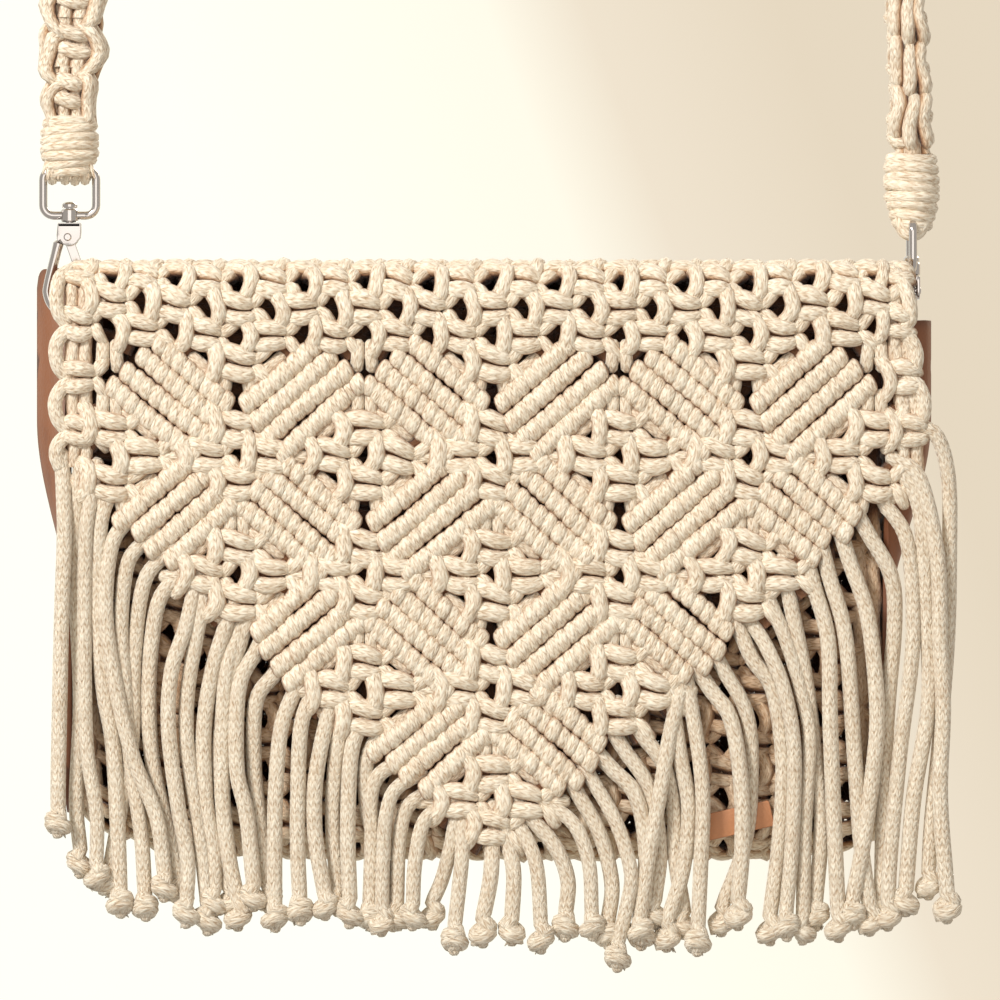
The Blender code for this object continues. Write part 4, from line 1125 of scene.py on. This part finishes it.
def gusset_piece(side):
    """Leather end wall: a pleated sheet with rounded top corners, cut edges and the hook's eye."""
    sign = -1 if side == "left" else 1
    hook = HOOKS[side]
    end = (body_left if side == "left" else body_right) + seam_gap + leather / 2
    bottom = -body_height * (1 - read_table(BOTTOM, 0.0 if side == "left" else 1.0))
    crown = hook["rise"] - hook_length + hook_bar / 2 + 0.0135
    pleat = smooth_line(np.array(PLEATS[side]), 4)
    rows = 60
    points = []
    for j in range(rows):
        down = j / (rows - 1)
        for share, stand in pleat:
            y = front_face + body_depth * share
            rim = min(body_depth * share, body_depth * (1 - share))
            short = max(0.0, body_corner - rim)
            low = bottom + body_corner - math.sqrt(max(0.0, body_corner ** 2 - short ** 2))
            off = max(0.0, gusset_corner - rim)
            high = crown - gusset_corner + math.sqrt(max(0.0, gusset_corner ** 2 - off ** 2))
            z = high + (low - high) * down
            fade = min(1.0, max(0.0, (z + 0.62 * body_height) / (0.36 * body_height)))
            points.append(Vector((sign * (end + body_depth * stand * fade * fade * (3 - 2 * fade)), y, fold_z + z)))
    wide = len(pleat)
    mesh = bpy.data.meshes.new("gusset_" + side)
    faces = [(j * wide + i, j * wide + i + 1, (j + 1) * wide + i + 1, (j + 1) * wide + i)
             for j in range(rows - 1) for i in range(wide - 1)]
    mesh.from_pydata(points, [], faces)
    obj = bpy.data.objects.new("gusset_sheet_" + side, mesh)
    bpy.context.collection.objects.link(obj)
    thick = obj.modifiers.new("thick", "SOLIDIFY")
    thick.thickness = leather * 0.96
    thick.offset = 0.0
    eye_z = fold_z + hook["rise"] - hook_length + 0.0004
    eye_y = -0.0002 if side == "left" else -0.0026
    cutter_mesh = bpy.data.meshes.new("eye")
    work = bmesh.new()
    bmesh.ops.create_cone(work, cap_ends=True, segments=40, radius1=0.0048, radius2=0.0048, depth=0.04,
                          matrix=Matrix.Translation((hook["x"], eye_y, eye_z)) @ Matrix.Rotation(math.pi / 2, 4, "Y"))
    work.to_mesh(cutter_mesh)
    work.free()
    cutter = bpy.data.objects.new("eye", cutter_mesh)
    bpy.context.collection.objects.link(cutter)
    cut = obj.modifiers.new("eye", "BOOLEAN")
    cut.operation = "DIFFERENCE"
    cut.solver = "EXACT"
    cut.object = cutter
    soft = obj.modifiers.new("soft", "BEVEL")
    soft.width = 0.00045
    soft.segments = 2
    soft.angle_limit = math.radians(50)
    found = bpy.data.meshes.new_from_object(obj.evaluated_get(bpy.context.evaluated_depsgraph_get()))
    bpy.data.objects.remove(obj)
    bpy.data.objects.remove(cutter)
    found.materials.clear()
    found.materials.append(brown_hide)
    found.shade_smooth()
    found.set_sharp_from_angle(angle=math.radians(40))
    return add_piece("gusset_leather_" + side, found, "bag", ("gusset_" + side,))


def label_piece():
    """A bare leather tag with rounded corners and edges, sewn on flat."""
    wide, high, corner = 0.0115, 0.00425, 0.0009
    outline = []
    for cx, cy, start in ((wide, -high, -90), (wide, high, 0), (-wide, high, 90), (-wide, -high, 180)):
        ix = cx - math.copysign(corner, cx)
        iy = cy - math.copysign(corner, cy)
        outline += arc_line(ix, iy, corner, start, start + 90, 5)
    c, s = math.cos(math.radians(13)), math.sin(math.radians(13))
    spot = np.array((0.0785, front_face - seam_gap - 0.0006, fold_z - 0.1790))

    def place(p):
        return (p[0] * c - p[2] * s + spot[0], p[1] + spot[1], p[0] * s + p[2] * c + spot[2])

    work = slab(outline, 0.0012, 0.0, place, 0.0003)
    mesh = bpy.data.meshes.new("label")
    work.to_mesh(mesh)
    work.free()
    mesh.shade_smooth()
    mesh.set_sharp_from_angle(angle=math.radians(45))
    mesh.materials.append(tan_hide)
    return add_piece("label_leather", mesh, "bag", ("label",))


# Everything in its place
flap_knot = knot_shape(8, 3)
edge_knots = {"left": knot_shape(8, 3, loop=False, fillers=UPRIGHT), "right": knot_shape(8, 3, stubs=False,
                                                                                          fillers=UPRIGHT)}
wall_knot = knot_shape(5, 2, round_ends=False)
new_piece("flap_net", placed_knots(flap_knot, net_spots(), flap_place), cord_cotton, nodes=("flap",))
new_piece("flap_crossings", placed_knots(flap_knot, lattice_spots(), flap_place, 1.08, 1.09), cord_cotton)
for side_name, edge_knot in edge_knots.items():
    new_piece("flap_edge_" + side_name, placed_knots(edge_knot, edge_spots(side_name), flap_place, 0.88),
              cord_cotton)
new_piece("flap_cords", upright_cords(), cord_cotton)
new_piece("flap_bars", flap_bars(), cord_cotton)
new_piece("fringe_strands", fringe_shape(), strand_cotton, nodes=("fringe",))
front_wall = joined([placed_knots(wall_knot, pouch_knots(0.0, 0.52), wall_place), wall_edges(0.0, 0.52)])
back_wall = joined([placed_knots(wall_knot, pouch_knots(0.52, 1.01), wall_place), wall_edges(0.52, 1.0)])
new_piece("pouch_front", in_shadow(front_wall), net_cotton, nodes=("pouch",))
new_piece("pouch_back", back_wall, net_cotton)
new_piece("strap_knots", strap_shape(), cord_cotton, nodes=("strap",))
for side_name in HOOKS:
    new_piece("winding_" + side_name, winding_shape(side_name), thread_cotton,
              nodes=("whipping_" + side_name,))
    finish_metal("ring_wire_" + side_name, [ring_shape(side_name)], side_name, ("ring_" + side_name,), "bag")
    finish_metal("hook_metal_" + side_name, hook_parts(side_name), side_name, ("hook_" + side_name,),
                 "hook_" + side_name)
    finish_metal("gate_metal_" + side_name, gate_parts(side_name), side_name, ("gate_" + side_name,),
                 "gate_" + side_name)
    gusset_piece(side_name)
label_piece()


# Studio
def glowing_backdrop(name, rows, tone, glow):
    """A stage surface through rows of (width, depth, height). With glow it gives off painted light, a falloff from
    bright at the left and low down to dim beige at the right and up high; its own colour is dark.
    """
    mesh = bpy.data.meshes.new(name)
    points = [(side * wide, deep, high) for wide, deep, high in rows for side in (-1, 1)]
    mesh.from_pydata(points, [], [(2 * i, 2 * i + 1, 2 * i + 3, 2 * i + 2) for i in range(len(rows) - 1)])
    made, tree, surface = shader_tree(name)
    body = node(tree, "ShaderNodeTexCoord").outputs["Object"]
    tree.links.new(ramp(tree, noise(tree, body, 3.0), (0.3, tone), (0.7, tuple(c * 1.04 for c in tone))),
                   surface.inputs["Base Color"])
    surface.inputs["Roughness"].default_value = 0.95
    if glow:
        place = node(tree, "ShaderNodeSeparateXYZ", {"Vector": body})
        # painted light: the emission colour falls off across the wall instead of coming from a lamp
        share = sums(tree, "MULTIPLY_ADD", place.outputs["X"], 0.80, 0.686)
        share = sums(tree, "MULTIPLY_ADD", place.outputs["Z"], 0.30, share)
        light = ramp(tree, share, (0.34, (1.0, 1.0, 0.90)), (0.70, (0.96, 0.92, 0.785)), (0.80, (0.81, 0.72, 0.58)),
                     (1.0, (0.73, 0.635, 0.49)))
        tree.links.new(light, surface.inputs["Emission Color"])
        surface.inputs["Emission Strength"].default_value = glow
    mesh.materials.append(made)
    obj = bpy.data.objects.new(name, mesh)
    bpy.context.collection.objects.link(obj)


def lamp(name, spot, aim, size, power, colour):
    data = bpy.data.lights.new(name, "AREA")
    data.shape = "RECTANGLE"
    data.size, data.size_y = size
    data.energy = power
    data.color = colour
    obj = bpy.data.objects.new(name, data)
    obj.location = spot
    obj.rotation_euler = (Vector(aim) - Vector(spot)).to_track_quat("-Z", "Y").to_euler()
    obj.visible_camera = False
    bpy.context.collection.objects.link(obj)


glowing_backdrop("studio_wall", ((14.0, 7.1, -12.0), (14.0, 7.1, 16.0)), (0.10, 0.09, 0.08), 1.0)
target = (0.0, 0.0, -0.55)
lamp("key", (-1.20, -1.60, 0.75), target, (0.50, 0.50), 49.0, (1.0, 0.96, 0.92))
lamp("card", (0.0, -3.0, -0.2), target, (2.4, 2.0), 17.0, (1.0, 0.96, 0.91))
lamp("rear", (0.6, 1.8, 0.5), target, (1.0, 1.0), 20.0, (1.0, 0.95, 0.89))
world = bpy.data.worlds.new("studio")
bpy.context.scene.world = world
world.use_nodes = True
world.node_tree.nodes["Background"].inputs["Color"].default_value = (1.0, 0.94, 0.86, 1.0)
world.node_tree.nodes["Background"].inputs["Strength"].default_value = 0.52

camera = bpy.data.cameras.new("camera")
camera.sensor_width = 36.0
distance = 2.4
camera.lens = 36.0 * distance / 0.320
lens = bpy.data.objects.new("camera", camera)
bpy.context.collection.objects.link(lens)
lens.location = (0.0026, -0.024 - distance, -0.5362)
lens.rotation_euler = (math.pi / 2, 0.0, 0.0)
bpy.context.scene.camera = lens
bpy.context.scene.view_settings.view_transform = "Standard"
